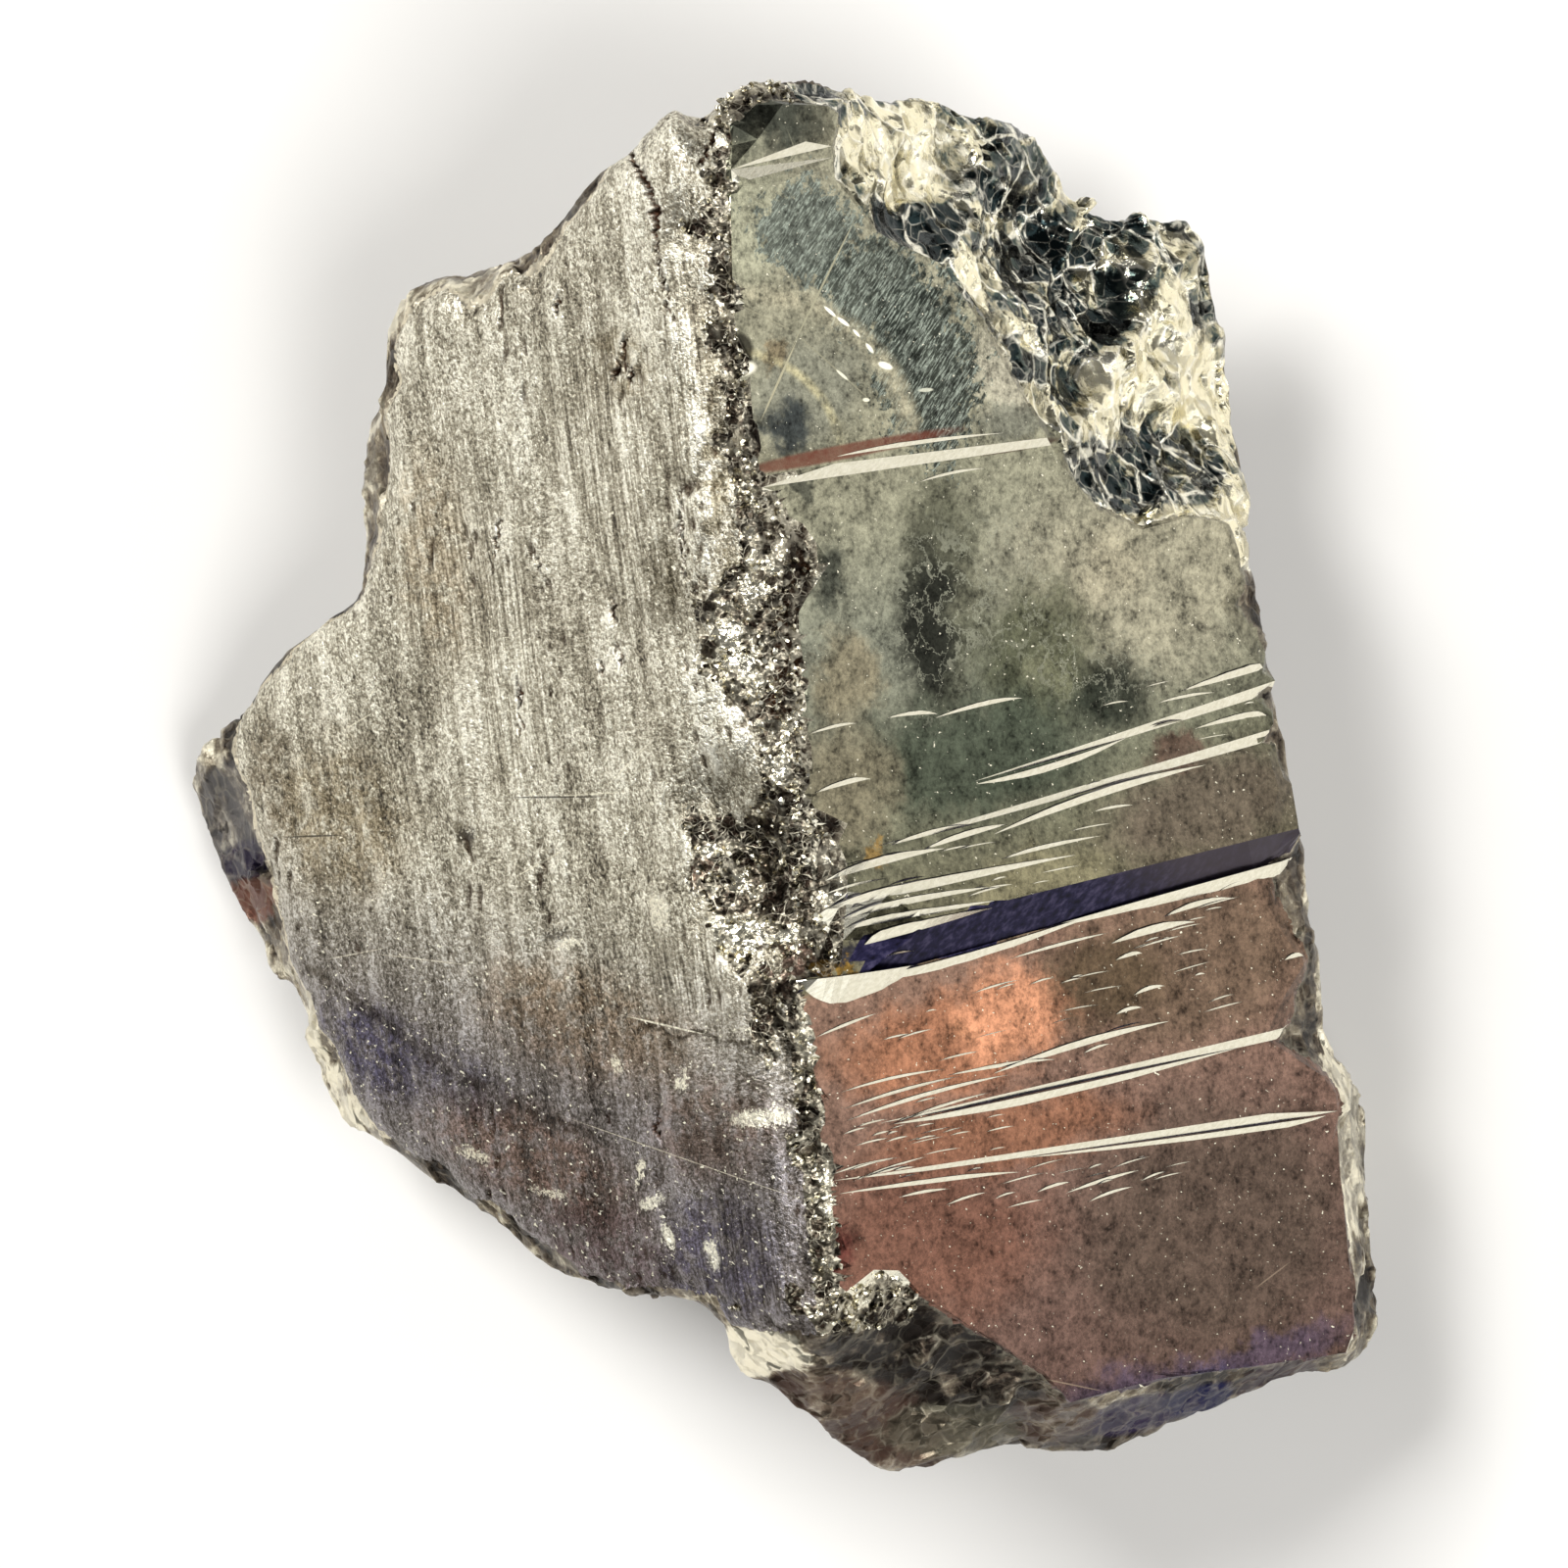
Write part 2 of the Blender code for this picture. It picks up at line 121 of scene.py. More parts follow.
# Right limit of the worn ridge, from the far end to the near one, and the width of the crust
# that lies beside it.
RIDGE_LIMIT = [
    (-2.0, 28.9, 0.5), (-2.2, 24.8, 0.9), (-2.1, 20.3, 1.1), (-1.5, 13.5, 0.9), (-0.4, 11.6, 1.5),
    (0.6, 4.3, 1.1), (1.0, -3.7, 1.1), (1.2, -6.2, 1.0), (0.3, -8.0, 0.7), (1.3, -11.8, 0.5),
    (1.8, -17.9, 0.55), (2.1, -21.0, 0.8),
]
# Places where the crust spreads over the ridge: centre x, y, half width and half length.
CRUST_SPOTS = [
    (-2.8, 23.3, 0.8, 1.6), (-1.6, 5.8, 2.0, 2.8), (-3.4, 7.9, 1.3, 0.9), (-1.7, -2.4, 2.9, 1.9),
    (-1.8, -5.6, 2.6, 1.6), (-0.9, -9.2, 1.0, 1.5), (0.6, -14.8, 1.0, 0.9), (-0.2, -20.8, 1.5, 0.9),
]
# Cracks: a row of x, y and width at each place.
CRACKS = [
    [(-6.4, 26.6, 0.1), (-6.1, 25.6, 0.2), (-5.65, 24.9, 0.3), (-5.4, 24.25, 0.14),
     (-5.3, 23.75, 0.45), (-5.3, 22.8, 0.14), (-5.15, 21.65, 0.09), (-4.85, 20.4, 0.07),
     (-4.6, 19.3, 0.04)],
    [(-2.15, 28.9, 0.1), (-2.4, 28.1, 0.22), (-2.75, 27.3, 0.18), (-3.05, 26.5, 0.14),
     (-3.3, 25.8, 0.16)],
    [(-4.3, 12.4, 0.04), (-4.2, 10.4, 0.1), (-4.15, 8.9, 0.04)],
    [(-11.9, 11.4, 0.06), (-12.1, 10.6, 0.16), (-12.15, 9.9, 0.06)],
    [(-10.5, 10.2, 0.04), (-10.35, 9.7, 0.12), (-10.2, 9.2, 0.04)],
    [(-7.1, 8.0, 0.06), (-7.1, 7.4, 0.2), (-6.95, 6.9, 0.06)],
    [(-6.85, 6.1, 0.05), (-6.8, 5.6, 0.16), (-6.75, 5.2, 0.04)],
    [(-7.65, 5.4, 0.05), (-7.6, 5.1, 0.16), (-7.55, 4.8, 0.05)],
    [(-11.2, 4.6, 0.06), (-11.15, 4.1, 0.18), (-11.1, 3.6, 0.06)],
    [(-11.1, 3.1, 0.05), (-11.05, 2.8, 0.15), (-11.05, 2.5, 0.05)],
    [(-6.5, 18.7, 0.05), (-6.65, 18.3, 0.18), (-6.75, 17.9, 0.05)],
    [(-6.75, 17.8, 0.06), (-6.95, 17.35, 0.32), (-7.1, 16.9, 0.1)],
    [(-6.45, 17.6, 0.05), (-6.35, 17.1, 0.15), (-6.2, 16.7, 0.04)],
    [(-9.5, 20.6, 0.06), (-9.4, 20.2, 0.2), (-9.5, 19.8, 0.06)],
    [(-5.2, -13.6, 0.08), (-5.4, -14.1, 0.2), (-5.2, -14.6, 0.08)],
]
CRACK_DEPTH = 0.35
# Pits of the striated face: their depth and size, how far apart the pitted places lie, how
# strong the noise has to be for a pit to start, and how much more makes it full.
PIT_DEPTH = 0.12
PIT_SIZE, PITTED_SIZE = (0.26, 0.8, 0.5), (2.2, 7.0)
PIT_START, PIT_RANGE = 0.62, 0.25
# Levels of growth lines on the striated face: width and depth for a line's own, and stretch.
STRIAE = [
    (1.0, 0.8, (1.0, 22.0, 3.0)), (4.0, 1.4, (1.0, 12.0, 3.0)),
    (1.3, 0.7, (1.2, 1.0, 1.0)), (9.0, 2.2, (1.0, 2.0, 1.0)),
]

# Small faces of each kind of break, coarse to fine: size in millimetres, tilt, hollow and step of
# a face for its size, and how the faces are stretched.
FACETS = {
    FRESH_BREAK: [
        (3.6, 0.2, 0.2, 0.06, (1.0, 1.3, 1.0)), (1.4, 0.15, 0.14, 0.07, (1.0, 1.3, 1.0)),
        (0.5, 0.11, 0.09, 0.1, (1.0, 1.0, 1.0)),
    ],
    OLD_BREAK: [
        (2.6, 0.15, 0.14, 0.05, (1.0, 1.0, 1.0)), (0.7, 0.12, 0.1, 0.08, (1.0, 1.0, 1.0)),
    ],
    RIDGE: [
        (1.3, 0.15, 0.12, 0.1, (1.0, 1.3, 1.0)), (0.42, 0.18, 0.12, 0.2, (1.0, 1.2, 1.0)),
    ],
    SIDE: [
        (5.2, 0.14, 0.16, 0.05, (1.0, 1.0, 1.3)), (1.9, 0.13, 0.11, 0.05, (1.0, 1.0, 1.0)),
    ],
    UNDERSIDE: [(6.0, 0.03, 0.06, 0.01, (1.0, 1.0, 1.0))],
}

# How much the faces of each level differ in tone.
LEVEL_FADES = (1.0, 0.6, 0.3)

# Growth ledges on the smooth face: x, y of both ends of the foot, widest width, and where it is
# widest. A width below zero hangs from the line instead, at the foot of a larger ledge.
LEDGE_LINES = [
    (0.1, 2.1, 3.0, 2.8, 0.17, 0.6), (4.2, 3.0, 6.4, 3.2, 0.2, 0.6), (6.2, 3.0, 10.0, 3.9, 0.24, 0.6),
    (7.9, 0.27, 14.5, 2.26, -0.36, 0.5),
    (15.8, 3.7, 18.4, 4.2, 0.16, 0.5), (16.8, 4.2, 21.4, 5.4, 0.4, 0.9),
    (17.4, 2.6, 21.6, 3.4, 0.3, 0.8), (13.4, 0.1, 15.5, 0.6, 0.15, 0.5),
    (5.7, -2.5, 9.4, -1.4, 0.3, 0.5), (8.6, -1.9, 18.0, 1.1, 0.38, 0.5),
    (4.3, -2.3, 8.0, -1.4, 0.24, 0.5), (13.0, -0.9, 14.8, -0.6, 0.15, 0.5),
    (0.9, -0.2, 3.6, 0.5, 0.26, 0.6), (1.4, -3.8, 6.7, -2.4, 0.4, 0.4),
    (1.6, -4.3, 4.4, -3.6, 0.14, 0.4), (1.5, -5.0, 12.3, -2.7, 0.48, 0.25),
    (9.0, -2.9, 13.4, -1.9, 0.22, 0.4), (1.6, -5.5, 9.0, -4.0, 0.34, 0.3),
    (1.5, -5.9, 8.8, -4.6, 0.36, 0.3), (3.3, -6.4, 8.7, -4.9, 0.5, 0.15),
    (0.5, -7.8, 5.6, -7.2, -1.2, 0.3), (3.1, -7.85, 13.5, -5.08, -0.42, 0.3),
    (10.5, -5.88, 22.4, -2.72, -0.6, 0.95), (0.7, -10.4, 3.9, -9.2, 0.17, 0.5),
    (9.3, -7.1, 13.8, -6.0, 0.17, 0.5), (13.8, -6.5, 17.5, -5.6, 0.4, 0.5),
    (16.1, -5.4, 19.3, -4.6, 0.3, 0.5), (18.6, -4.3, 20.3, -3.8, 0.2, 0.5),
    (21.5, -7.3, 23.0, -7.0, 0.25, 0.6), (14.0, -7.2, 15.2, -6.9, 0.22, 0.6),
    (14.8, -8.7, 16.2, -8.3, 0.22, 0.5), (14.0, -9.5, 15.2, -9.2, 0.2, 0.5),
    (18.0, -9.1, 19.3, -8.7, 0.1, 0.5), (2.2, -12.5, 6.7, -11.6, 0.16, 0.5),
    (6.6, -11.9, 11.4, -11.3, 0.2, 0.6), (8.6, -11.9, 16.4, -9.8, 0.34, 0.5),
    (2.3, -13.2, 7.4, -11.9, 0.18, 0.5), (2.4, -13.7, 9.4, -11.9, 0.22, 0.5),
    (4.3, -13.9, 8.7, -12.6, 0.16, 0.5), (4.3, -13.84, 19.4, -11.0, -0.4, 0.4),
    (12.6, -11.1, 13.8, -10.7, 0.15, 0.5),
    (1.7, -15.9, 4.9, -15.2, 0.14, 0.5), (2.7, -16.2, 6.0, -15.2, 0.14, 0.5),
    (1.7, -16.7, 9.9, -16.0, 0.24, 0.6), (9.4, -15.45, 23.4, -14.02, -0.3, 0.85),
    (4.7, -16.9, 6.9, -16.6, 0.16, 0.5), (6.7, -17.3, 8.5, -16.8, 0.14, 0.5),
    (10.6, -16.9, 12.1, -16.5, 0.17, 0.5), (11.8, -17.0, 15.1, -16.1, 0.2, 0.5),
    (12.8, -17.4, 14.8, -16.8, 0.17, 0.5), (15.1, -16.6, 16.3, -16.2, 0.13, 0.5),
    (2.0, 13.75, 9.2, 15.0, 0.22, 0.4),
    (5.5, 12.8, 8.4, 13.5, 0.16, 0.5),
]
# A ledge is made of this many parts along its length, and is looked at in this many places to
# find where it lies on the smooth face: no more than so far below it, and at least so long.
LEDGE_PARTS, LEDGE_PROBES = 16, 24
LEDGE_GAP, HANGING_GAP, LEAST_LEDGE = 0.05, 0.6, 0.4
# A height above the whole lump, in metres, from which its surface is probed.
PROBE_HEIGHT = 0.06
# Fields of short ledges: x, y of two opposite corners, and how many.
LEDGE_FIELDS = [
    ((2.2, -16.6), (8.5, -13.2), 26), ((3.0, -12.0), (18.0, -6.5), 22),
    ((8.5, -17.6), (16.5, -15.8), 12), ((2.0, -5.2), (12.0, -2.4), 14),
    ((14.0, -9.5), (22.5, -5.0), 10), ((12.0, 0.0), (21.0, 4.5), 8),
]


def hex_colour(text):
    """A linear colour from an sRGB hex value."""
    parts = [int(text[i : i + 2], 16) / 255 for i in (0, 2, 4)]
    return tuple(c / 12.92 if c <= 0.04045 else ((c + 0.055) / 1.055) ** 2.4 for c in parts)


def crystal_turn():
    """Turns the crystal's own axes, whose y runs along its edge, into the lump's."""
    turn = Euler((EDGE_CLIMB, 0.0, 0.0)).to_matrix()
    turn.rotate(Euler((0.0, 0.0, EDGE_TURN)))
    return turn


def cube_normal(side):
    """Direction that a cube face looks in. side is -1 for the left face and 1 for the right."""
    slope = LEFT_SLOPE if side < 0 else RIGHT_SLOPE
    return crystal_turn() @ Vector((side * math.sin(slope), 0.0, math.cos(slope)))


def face_height(side, x, y):
    """Height of a cube face above x, y, in millimetres."""
    normal = cube_normal(side)
    return EDGE_POINT.z - (normal.x * (x - EDGE_POINT.x) + normal.y * (y - EDGE_POINT.y)) / normal.z


# Soft lights of the studio: name, place and size in metres, power.
LIGHTS = [
    ("key", (-0.6, 0.5, 1.0), (0.4, 0.4), 14.0),
    ("overhead", (0.4, -0.35, 1.4), (0.5, 0.5), 12.0),
    ("left_strip", (-1.2, 0.1, 0.45), (0.25, 0.9), 3.0),
    ("front_strip", (0.75, -1.05, 0.3), (1.4, 0.6), 3.0),
    ("right_strip", (1.3, 0.1, 0.3), (0.6, 1.6), 5.2),
]
LIGHT_AIM = Vector((0.0, 0.0, 0.015))
# The camera's sensor, and the width that fills its frame at a level above the floor.
SENSOR_WIDTH = 36.0
FRAME_WIDTH, FRAME_LEVEL = 67.0, 15.0
# The floor's width, in metres.
FLOOR_SIZE = 4.0


# ---------------------------------------------------------------- settings


class PyriteLumpSettings(bpy.types.PropertyGroup):
    stria_width: bpy.props.FloatProperty(
        name="Stria Width", description="Distance between growth lines on the left face",
        default=0.00034, min=0.0001, unit="LENGTH",
    )
    stria_depth: bpy.props.FloatProperty(
        name="Stria Depth", description="Depth of the growth lines on the left face",
        default=0.00011, min=0.0, unit="LENGTH",
    )
    bright: bpy.props.FloatVectorProperty(
        name="Bright Pyrite", description="Clean pyrite in small specks on the left face",
        subtype="COLOR", default=hex_colour("F0EBD6"), min=0.0, max=1.0,
    )
    rust: bpy.props.FloatVectorProperty(
        name="Rust", description="Iron rust in the cracks and pits of the left face",
        subtype="COLOR", default=hex_colour("3E2A1F"), min=0.0, max=1.0,
    )


class PyriteLedgeSettings(bpy.types.PropertyGroup):
    slope: bpy.props.FloatProperty(
        name="Riser Slope", description="Rise of a ledge for its width",
        default=0.45, min=0.1, max=1.5,
    )
    run: bpy.props.FloatProperty(
        name="Run", description="How many widths a ledge takes to sink back into the face",
        default=0.12, min=0.1, max=10.0,
    )
    colour: bpy.props.FloatVectorProperty(
        name="Ledge Colour", description="Untarnished pyrite on the risers",
        subtype="COLOR", default=hex_colour("F2EEDC"), min=0.0, max=1.0,
    )


class PyriteGrainSettings(bpy.types.PropertyGroup):
    count: bpy.props.IntProperty(
        name="Grains", description="How many small grains stand on the worn ridge",
        default=700, min=0, max=3000,
    )
    size: bpy.props.FloatProperty(
        name="Grain Size", description="Width of a middling grain",
        default=0.00034, min=0.0001, unit="LENGTH",
    )


class PyriteStudioSettings(bpy.types.PropertyGroup):
    floor_colour: bpy.props.FloatVectorProperty(
        name="Floor", description="Colour of the floor",
        subtype="COLOR", default=hex_colour("E2E0DC"), min=0.0, max=1.0,
    )
    camera_height: bpy.props.FloatProperty(
        name="Camera Height", description="Height of the camera above the floor",
        default=0.45, min=0.1, unit="LENGTH",
    )


# ---------------------------------------------------------------- mesh helpers


def select_only(thing):
    """Selects one object alone and makes it the active one."""
    bpy.ops.object.select_all(action="DESELECT")
    thing.select_set(True)
    bpy.context.view_layer.objects.active = thing


def joined(copies, name):
    """Joins copies into one piece with a name."""
    select_only(copies[0])
    for copy in copies:
        copy.select_set(True)
    bpy.ops.object.join()
    piece = bpy.context.view_layer.objects.active
    piece.name = name
    return piece


def corners(mesh):
    """Places of a mesh's corners, in millimetres."""
    places = np.empty(len(mesh.vertices) * 3, dtype=np.float32)
    mesh.vertices.foreach_get("co", places)
    return places.reshape(-1, 3).astype(float) / MM


def corner_normals(mesh):
    """Directions that a mesh's corners look in."""
    looks = np.empty(len(mesh.vertices) * 3, dtype=np.float32)
    mesh.vertex_normals.foreach_get("vector", looks)
    return looks.reshape(-1, 3).astype(float)


def edge_ends(mesh):
    """Corner numbers of each edge."""
    ends = np.empty(len(mesh.edges) * 2, dtype=np.int32)
    mesh.edges.foreach_get("vertices", ends)
    return ends.reshape(-1, 2)


def line_distance(places, line):
    """Distance from a line of x, y and width, as a share of its half width there."""
    line = np.array(line)
    best = np.full(len(places), 99.0)
    for start, end in zip(line[:-1], line[1:]):
        span = end[:2] - start[:2]
        along = np.clip(((places[:, :2] - start[:2]) @ span) / (span @ span), 0.0, 1.0)
        away = np.linalg.norm(places[:, :2] - start[:2] - along[:, None] * span, axis=1)
        wide = start[2] + (end[2] - start[2]) * along
        best = np.minimum(best, 2.0 * away / wide)
    return best


def crack_distance(places):
    """Distance from the nearest crack, as a share of its half width. Its sides are ragged."""
    x, y = places[:, 0], places[:, 1]
    ragged = places.copy()
    ragged[:, 0] += 0.06 * np.sin(9.0 * y + 3.0 * x) + 0.05 * np.sin(23.0 * y - 5.0 * x)
    ragged[:, 1] += 0.05 * np.sin(17.0 * x + 4.0 * y)
    return np.min([line_distance(ragged, line) for line in CRACKS], axis=0)


def ridge_limit(y, column=0):
    """Where the ridge ends on the right at each y, or with column 2 how wide its crust is."""
    rows = np.array(RIDGE_LIMIT)[::-1]
    return np.interp(y, rows[:, 1], rows[:, column])


def on_crust(places):
    """Whether a place on the ridge lies in its granular crust."""
    x, y = places[:, 0], places[:, 1]
    crust = ridge_limit(y) - x < ridge_limit(y, 2)
    for centre_x, centre_y, half_x, half_y in CRUST_SPOTS:
        crust |= ((x - centre_x) / half_x) ** 2 + ((y - centre_y) / half_y) ** 2 < 1.0
    return crust


def surface_kinds(places, looks):
    """The kind of surface at each place on the lump."""
    x, y, up = places[:, 0], places[:, 1], looks[:, 2]
    from_edge = np.array(EDGE_POINT) - places
    below_left = from_edge @ np.array(cube_normal(-1))
    below_right = from_edge @ np.array(cube_normal(1))
    depth = np.minimum(below_left, below_right)
    reach = np.maximum(below_left, below_right)
    right = below_right < below_left
    kinds = np.full(len(places), SIDE)
    kinds[up < UNDERSIDE_LOOKS_UP] = UNDERSIDE
    front = up > FRONT_LOOKS_UP
    broken = front & (depth > SMOOTH_DEPTH)
    kinds[front] = OLD_BREAK
    kinds[broken & right & (y > FRESH_BREAK_Y) & (reach > 3.0)] = FRESH_BREAK
    ridge = broken & (reach < RIDGE_REACH) & (y > RIDGE_END_Y)
    uneven = 0.5 * np.sin(2.1 * y) * np.sin(0.7 * y + 1.0) + 0.25 * np.sin(5.3 * y + 2.0 * x)
    sideways = 0.6 * np.sin(1.7 * x + 0.9 * y) + 0.3 * np.sin(4.1 * x - 2.0 * y)
    moved = places + np.stack([uneven, sideways, np.zeros(len(x))], axis=1)
    crust = on_crust(moved)
    kinds[ridge] = np.where(crust[ridge], RIDGE, STRIATED_FACE)
    kinds[front & right & (depth < SMOOTH_DEPTH)] = SMOOTH_FACE
    # The crust's own border on the smooth face is frayed.
    frayed = 0.2 * np.sin(6.1 * y + 3.0 * np.sin(1.9 * y)) + 0.12 * np.sin(14.0 * y)
    spread = ridge_limit(y) + 0.22 + frayed
    kinds[front & right & (x < spread) & (np.abs(y) < 21.0)] = RIDGE
    left = front & ~right & (kinds != RIDGE)
    kinds[left & (depth < STRIATED_DEPTH) & (reach > 1.0)] = STRIATED_FACE
    return kinds


def coarse_edges(mesh, ease):
    """Which edges are too long for the kinds of surface that they join."""
    places = corners(mesh)
    kinds = surface_kinds(places, corner_normals(mesh))
    ends = edge_ends(mesh)
    span = places[ends[:, 1]] - places[ends[:, 0]]
    along = np.abs(span @ np.array(crystal_turn() @ Vector((0.0, 1.0, 0.0))))
    across = np.sqrt(np.maximum((span * span).sum(axis=1) - along**2, 0.0))
    least = np.array([SPACING[kind][0] for kind in KINDS])
    most = np.array([SPACING[kind][1] for kind in KINDS])
    wide = np.minimum(least[kinds[ends[:, 0]]], least[kinds[ends[:, 1]]]) * ease
    long = np.minimum(most[kinds[ends[:, 0]]], most[kinds[ends[:, 1]]]) * ease
    if ease == 1.0:
        near = crack_distance(0.5 * (places[ends[:, 0]] + places[ends[:, 1]])) < 2.2
        wide = np.where(near, CRACK_SPACING, wide)
        long = np.where(near, CRACK_SPACING, long)
    return np.hypot(across / wide, along / long) > EDGE_EXCESS


def refine(lump, ease, rounds):
    """Divides long edges until each kind of surface has the spacing that its relief needs."""
    for _ in range(rounds):
        picked = coarse_edges(lump.data, ease)
        if not picked.any():
            break
        for parts in (lump.data.polygons, lump.data.vertices):
            parts.foreach_set("select", np.zeros(len(parts), dtype=bool))
        lump.data.edges.foreach_set("select", picked)
        bpy.ops.object.mode_set(mode="EDIT")
        bpy.ops.mesh.subdivide(number_cuts=1, ngon=False)
        bpy.ops.mesh.select_all(action="SELECT")
        bpy.ops.mesh.quads_convert_to_tris(quad_method="BEAUTY", ngon_method="BEAUTY")
        bpy.ops.object.mode_set(mode="OBJECT")


def even_out(values, ends, rounds):
    """Averages a value over the neighbours of each corner."""
    values = values.astype(float)
    count = np.bincount(ends.ravel(), minlength=len(values)).astype(float)
    for _ in range(rounds):
        if values.ndim == 1:
            total = np.bincount(ends[:, 0], values[ends[:, 1]], len(values))
            total += np.bincount(ends[:, 1], values[ends[:, 0]], len(values))
            values = 0.5 * values + 0.5 * total / count
        else:
            values = np.stack([even_out(column, ends, 1) for column in values.T], axis=1)
    return values


def soften(lump, kinds_to_soften, rounds):
    """Rounds off the facets on some kinds of surface."""
    kinds = surface_kinds(corners(lump.data), corner_normals(lump.data))
    picked = np.isin(kinds, kinds_to_soften)
    bpy.ops.object.mode_set(mode="EDIT")
    bpy.ops.mesh.select_mode(type="VERT")
    bpy.ops.mesh.select_all(action="DESELECT")
    bpy.ops.object.mode_set(mode="OBJECT")
    lump.data.vertices.foreach_set("select", picked)
    bpy.ops.object.mode_set(mode="EDIT")
    bpy.ops.mesh.vertices_smooth(factor=0.5, repeat=rounds)
    bpy.ops.mesh.select_mode(type="EDGE")
    bpy.ops.object.mode_set(mode="OBJECT")


def weigh(lump, name, weights):
    """Stores weights as a vertex group, in steps of a twentieth."""
    group = lump.vertex_groups.new(name=name)
    steps = np.round(np.clip(weights, 0.0, 1.0) * 20).astype(int)
    for step in range(1, 21):
        group.add(np.flatnonzero(steps == step).tolist(), step / 20, "REPLACE")
    return name


def raise_relief(lump, pattern, size, height, group, middle=0.5, stretch=None, **settings):
    """Displaces the surface by a procedural pattern and applies it."""
    texture = bpy.data.textures.new(f"{lump.name}_{pattern}", pattern)
    for name, value in settings.items():
        setattr(texture, name, value)
    ruler = bpy.data.objects.new("ruler", None)
    bpy.context.scene.collection.objects.link(ruler)
    scale = Vector(stretch or (1.0, 1.0, 1.0)) * size
    ruler.matrix_world = crystal_turn().to_4x4() @ Matrix.Diagonal((*scale, 1.0))
    bpy.context.view_layer.update()
    modifier = lump.modifiers.new("relief", "DISPLACE")
    modifier.texture = texture
    modifier.texture_coords = "OBJECT"
    modifier.texture_coords_object = ruler
    modifier.strength = height
    modifier.mid_level = middle
    modifier.vertex_group = group
    bpy.ops.object.modifier_apply(modifier=modifier.name)
    bpy.data.objects.remove(ruler)
    bpy.data.textures.remove(texture)


def facets(places, size, tilt, bowl, step, seed, stretch):
    """A surface that broke into small hollow faces with sharp crests between them: for each
    place, how far it lies out, a number for the face that it belongs to, and how far the next
    crest is, in millimetres."""
    lift = np.empty(len(places))
    tone = np.empty(len(places))
    border = np.empty(len(places))
    shift = Vector((seed, 2.0 * seed, 3.0 * seed))
    scale = Vector(stretch) * size
    half = Vector((0.5, 0.5, 0.5))
    for number, place in enumerate(places):
        point = Vector([place[i] / scale[i] for i in range(3)]) + shift
        point += 0.3 * noise.noise_vector(0.9 * point) + 0.08 * noise.noise_vector(3.0 * point)
        bowls = []
        for centre in noise.voronoi(point)[1]:
            chance = noise.cell_vector(centre * 17.0)
            own = (chance.x * 7.0 + chance.y * 5.0) % 1.0
            slope = 2.0 * tilt * (chance - half)
            offset = point - centre
            value = bowl * offset.length_squared + slope.dot(offset) + step * own
            bowls.append((value, own, slope - 2.0 * bowl * centre))
        bowls.sort(key=lambda entry: entry[0])
        (value, own, rate), (other, _, other_rate) = bowls[:2]
        lift[number] = size * (value - 0.25 * bowl - 0.3 * step)
        tone[number] = own
        border[number] = size * (other - value) / max((rate - other_rate).length, 0.05)
    return lift, tone, border


def store(mesh, name, values):
    """Keeps one number for each corner, for the materials to read."""
    layer = mesh.attributes.new(name, "FLOAT", "POINT")
    layer.data.foreach_set("value", values.astype(np.float32))


def relief_of(mesh, rounds):
    """How far each corner stands above the evened-out surface, in millimetres."""
    places = corners(mesh)
    lifted = places - even_out(places, edge_ends(mesh), rounds)
    return (lifted * corner_normals(mesh)).sum(axis=1)


# ---------------------------------------------------------------- material helpers


def feed(tree, socket, value):
    """Gives an input its value, or a link from a socket or from a node's first output."""
    if isinstance(value, bpy.types.Node):
        value = value.outputs[0]
    if isinstance(value, bpy.types.NodeSocket):
        tree.links.new(value, socket)
    else:
        socket.default_value = value


def add(tree, kind, inputs=(), stops=None, **settings):
    """Adds a node with its settings, its inputs in order or by name, and its colour stops."""
    made = tree.nodes.new("ShaderNode" + kind)
    for name, value in settings.items():
        setattr(made, name, value)
    for name, value in inputs.items() if isinstance(inputs, dict) else enumerate(inputs):
        feed(tree, made.inputs[name], value)
    if stops:
        ramp = made.color_ramp
        while len(ramp.elements) < len(stops):
            ramp.elements.new(0.5)
        for element, (position, colour) in zip(ramp.elements, stops):
            element.position = position
            element.color = (*hex_colour(colour), 1.0)
    return made


def millimetres(tree):
    """The piece's own coordinates in millimetres."""
    place = add(tree, "TexCoord").outputs["Object"]
    return add(tree, "VectorMath", (place, (1.0 / MM,) * 3), operation="MULTIPLY")


def pattern(tree, place, size, detail=4.0, roughness=0.6, turn=0.0, distortion=0.0):
    """Soft noise whose features have a size in millimetres along x, y and z."""
    if turn:
        place = add(tree, "Mapping", {"Vector": place, "Rotation": (0.0, 0.0, turn)})
    scale = tuple(1.0 / length for length in size)
    scaled = add(tree, "VectorMath", (place, scale), operation="MULTIPLY")
    inputs = {
        "Vector": scaled, "Scale": 1.0, "Detail": detail, "Roughness": roughness,
        "Distortion": distortion,
    }
    return add(tree, "TexNoise", inputs).outputs["Fac"]


def flattened(tree, place):
    """A place seen from above: its x and y alone."""
    return add(tree, "VectorMath", (place, (1.0, 1.0, 0.0)), operation="MULTIPLY")


def tinted(tree, share, colour, tint, how="MIX"):
    """A colour under a film of another, given as a hex value."""
    inputs = {0: share, 6: colour, 7: (*hex_colour(tint), 1.0)}
    return add(tree, "Mix", inputs, data_type="RGBA", blend_type=how).outputs[2]


def metal(name):
    """A new metal material, its node tree and its shader."""
    material = bpy.data.materials.new(name)
    material.use_nodes = True
    tree = material.node_tree
    shader = tree.nodes["Principled BSDF"]
    shader.inputs["Metallic"].default_value = 1.0
    return material, tree, shader


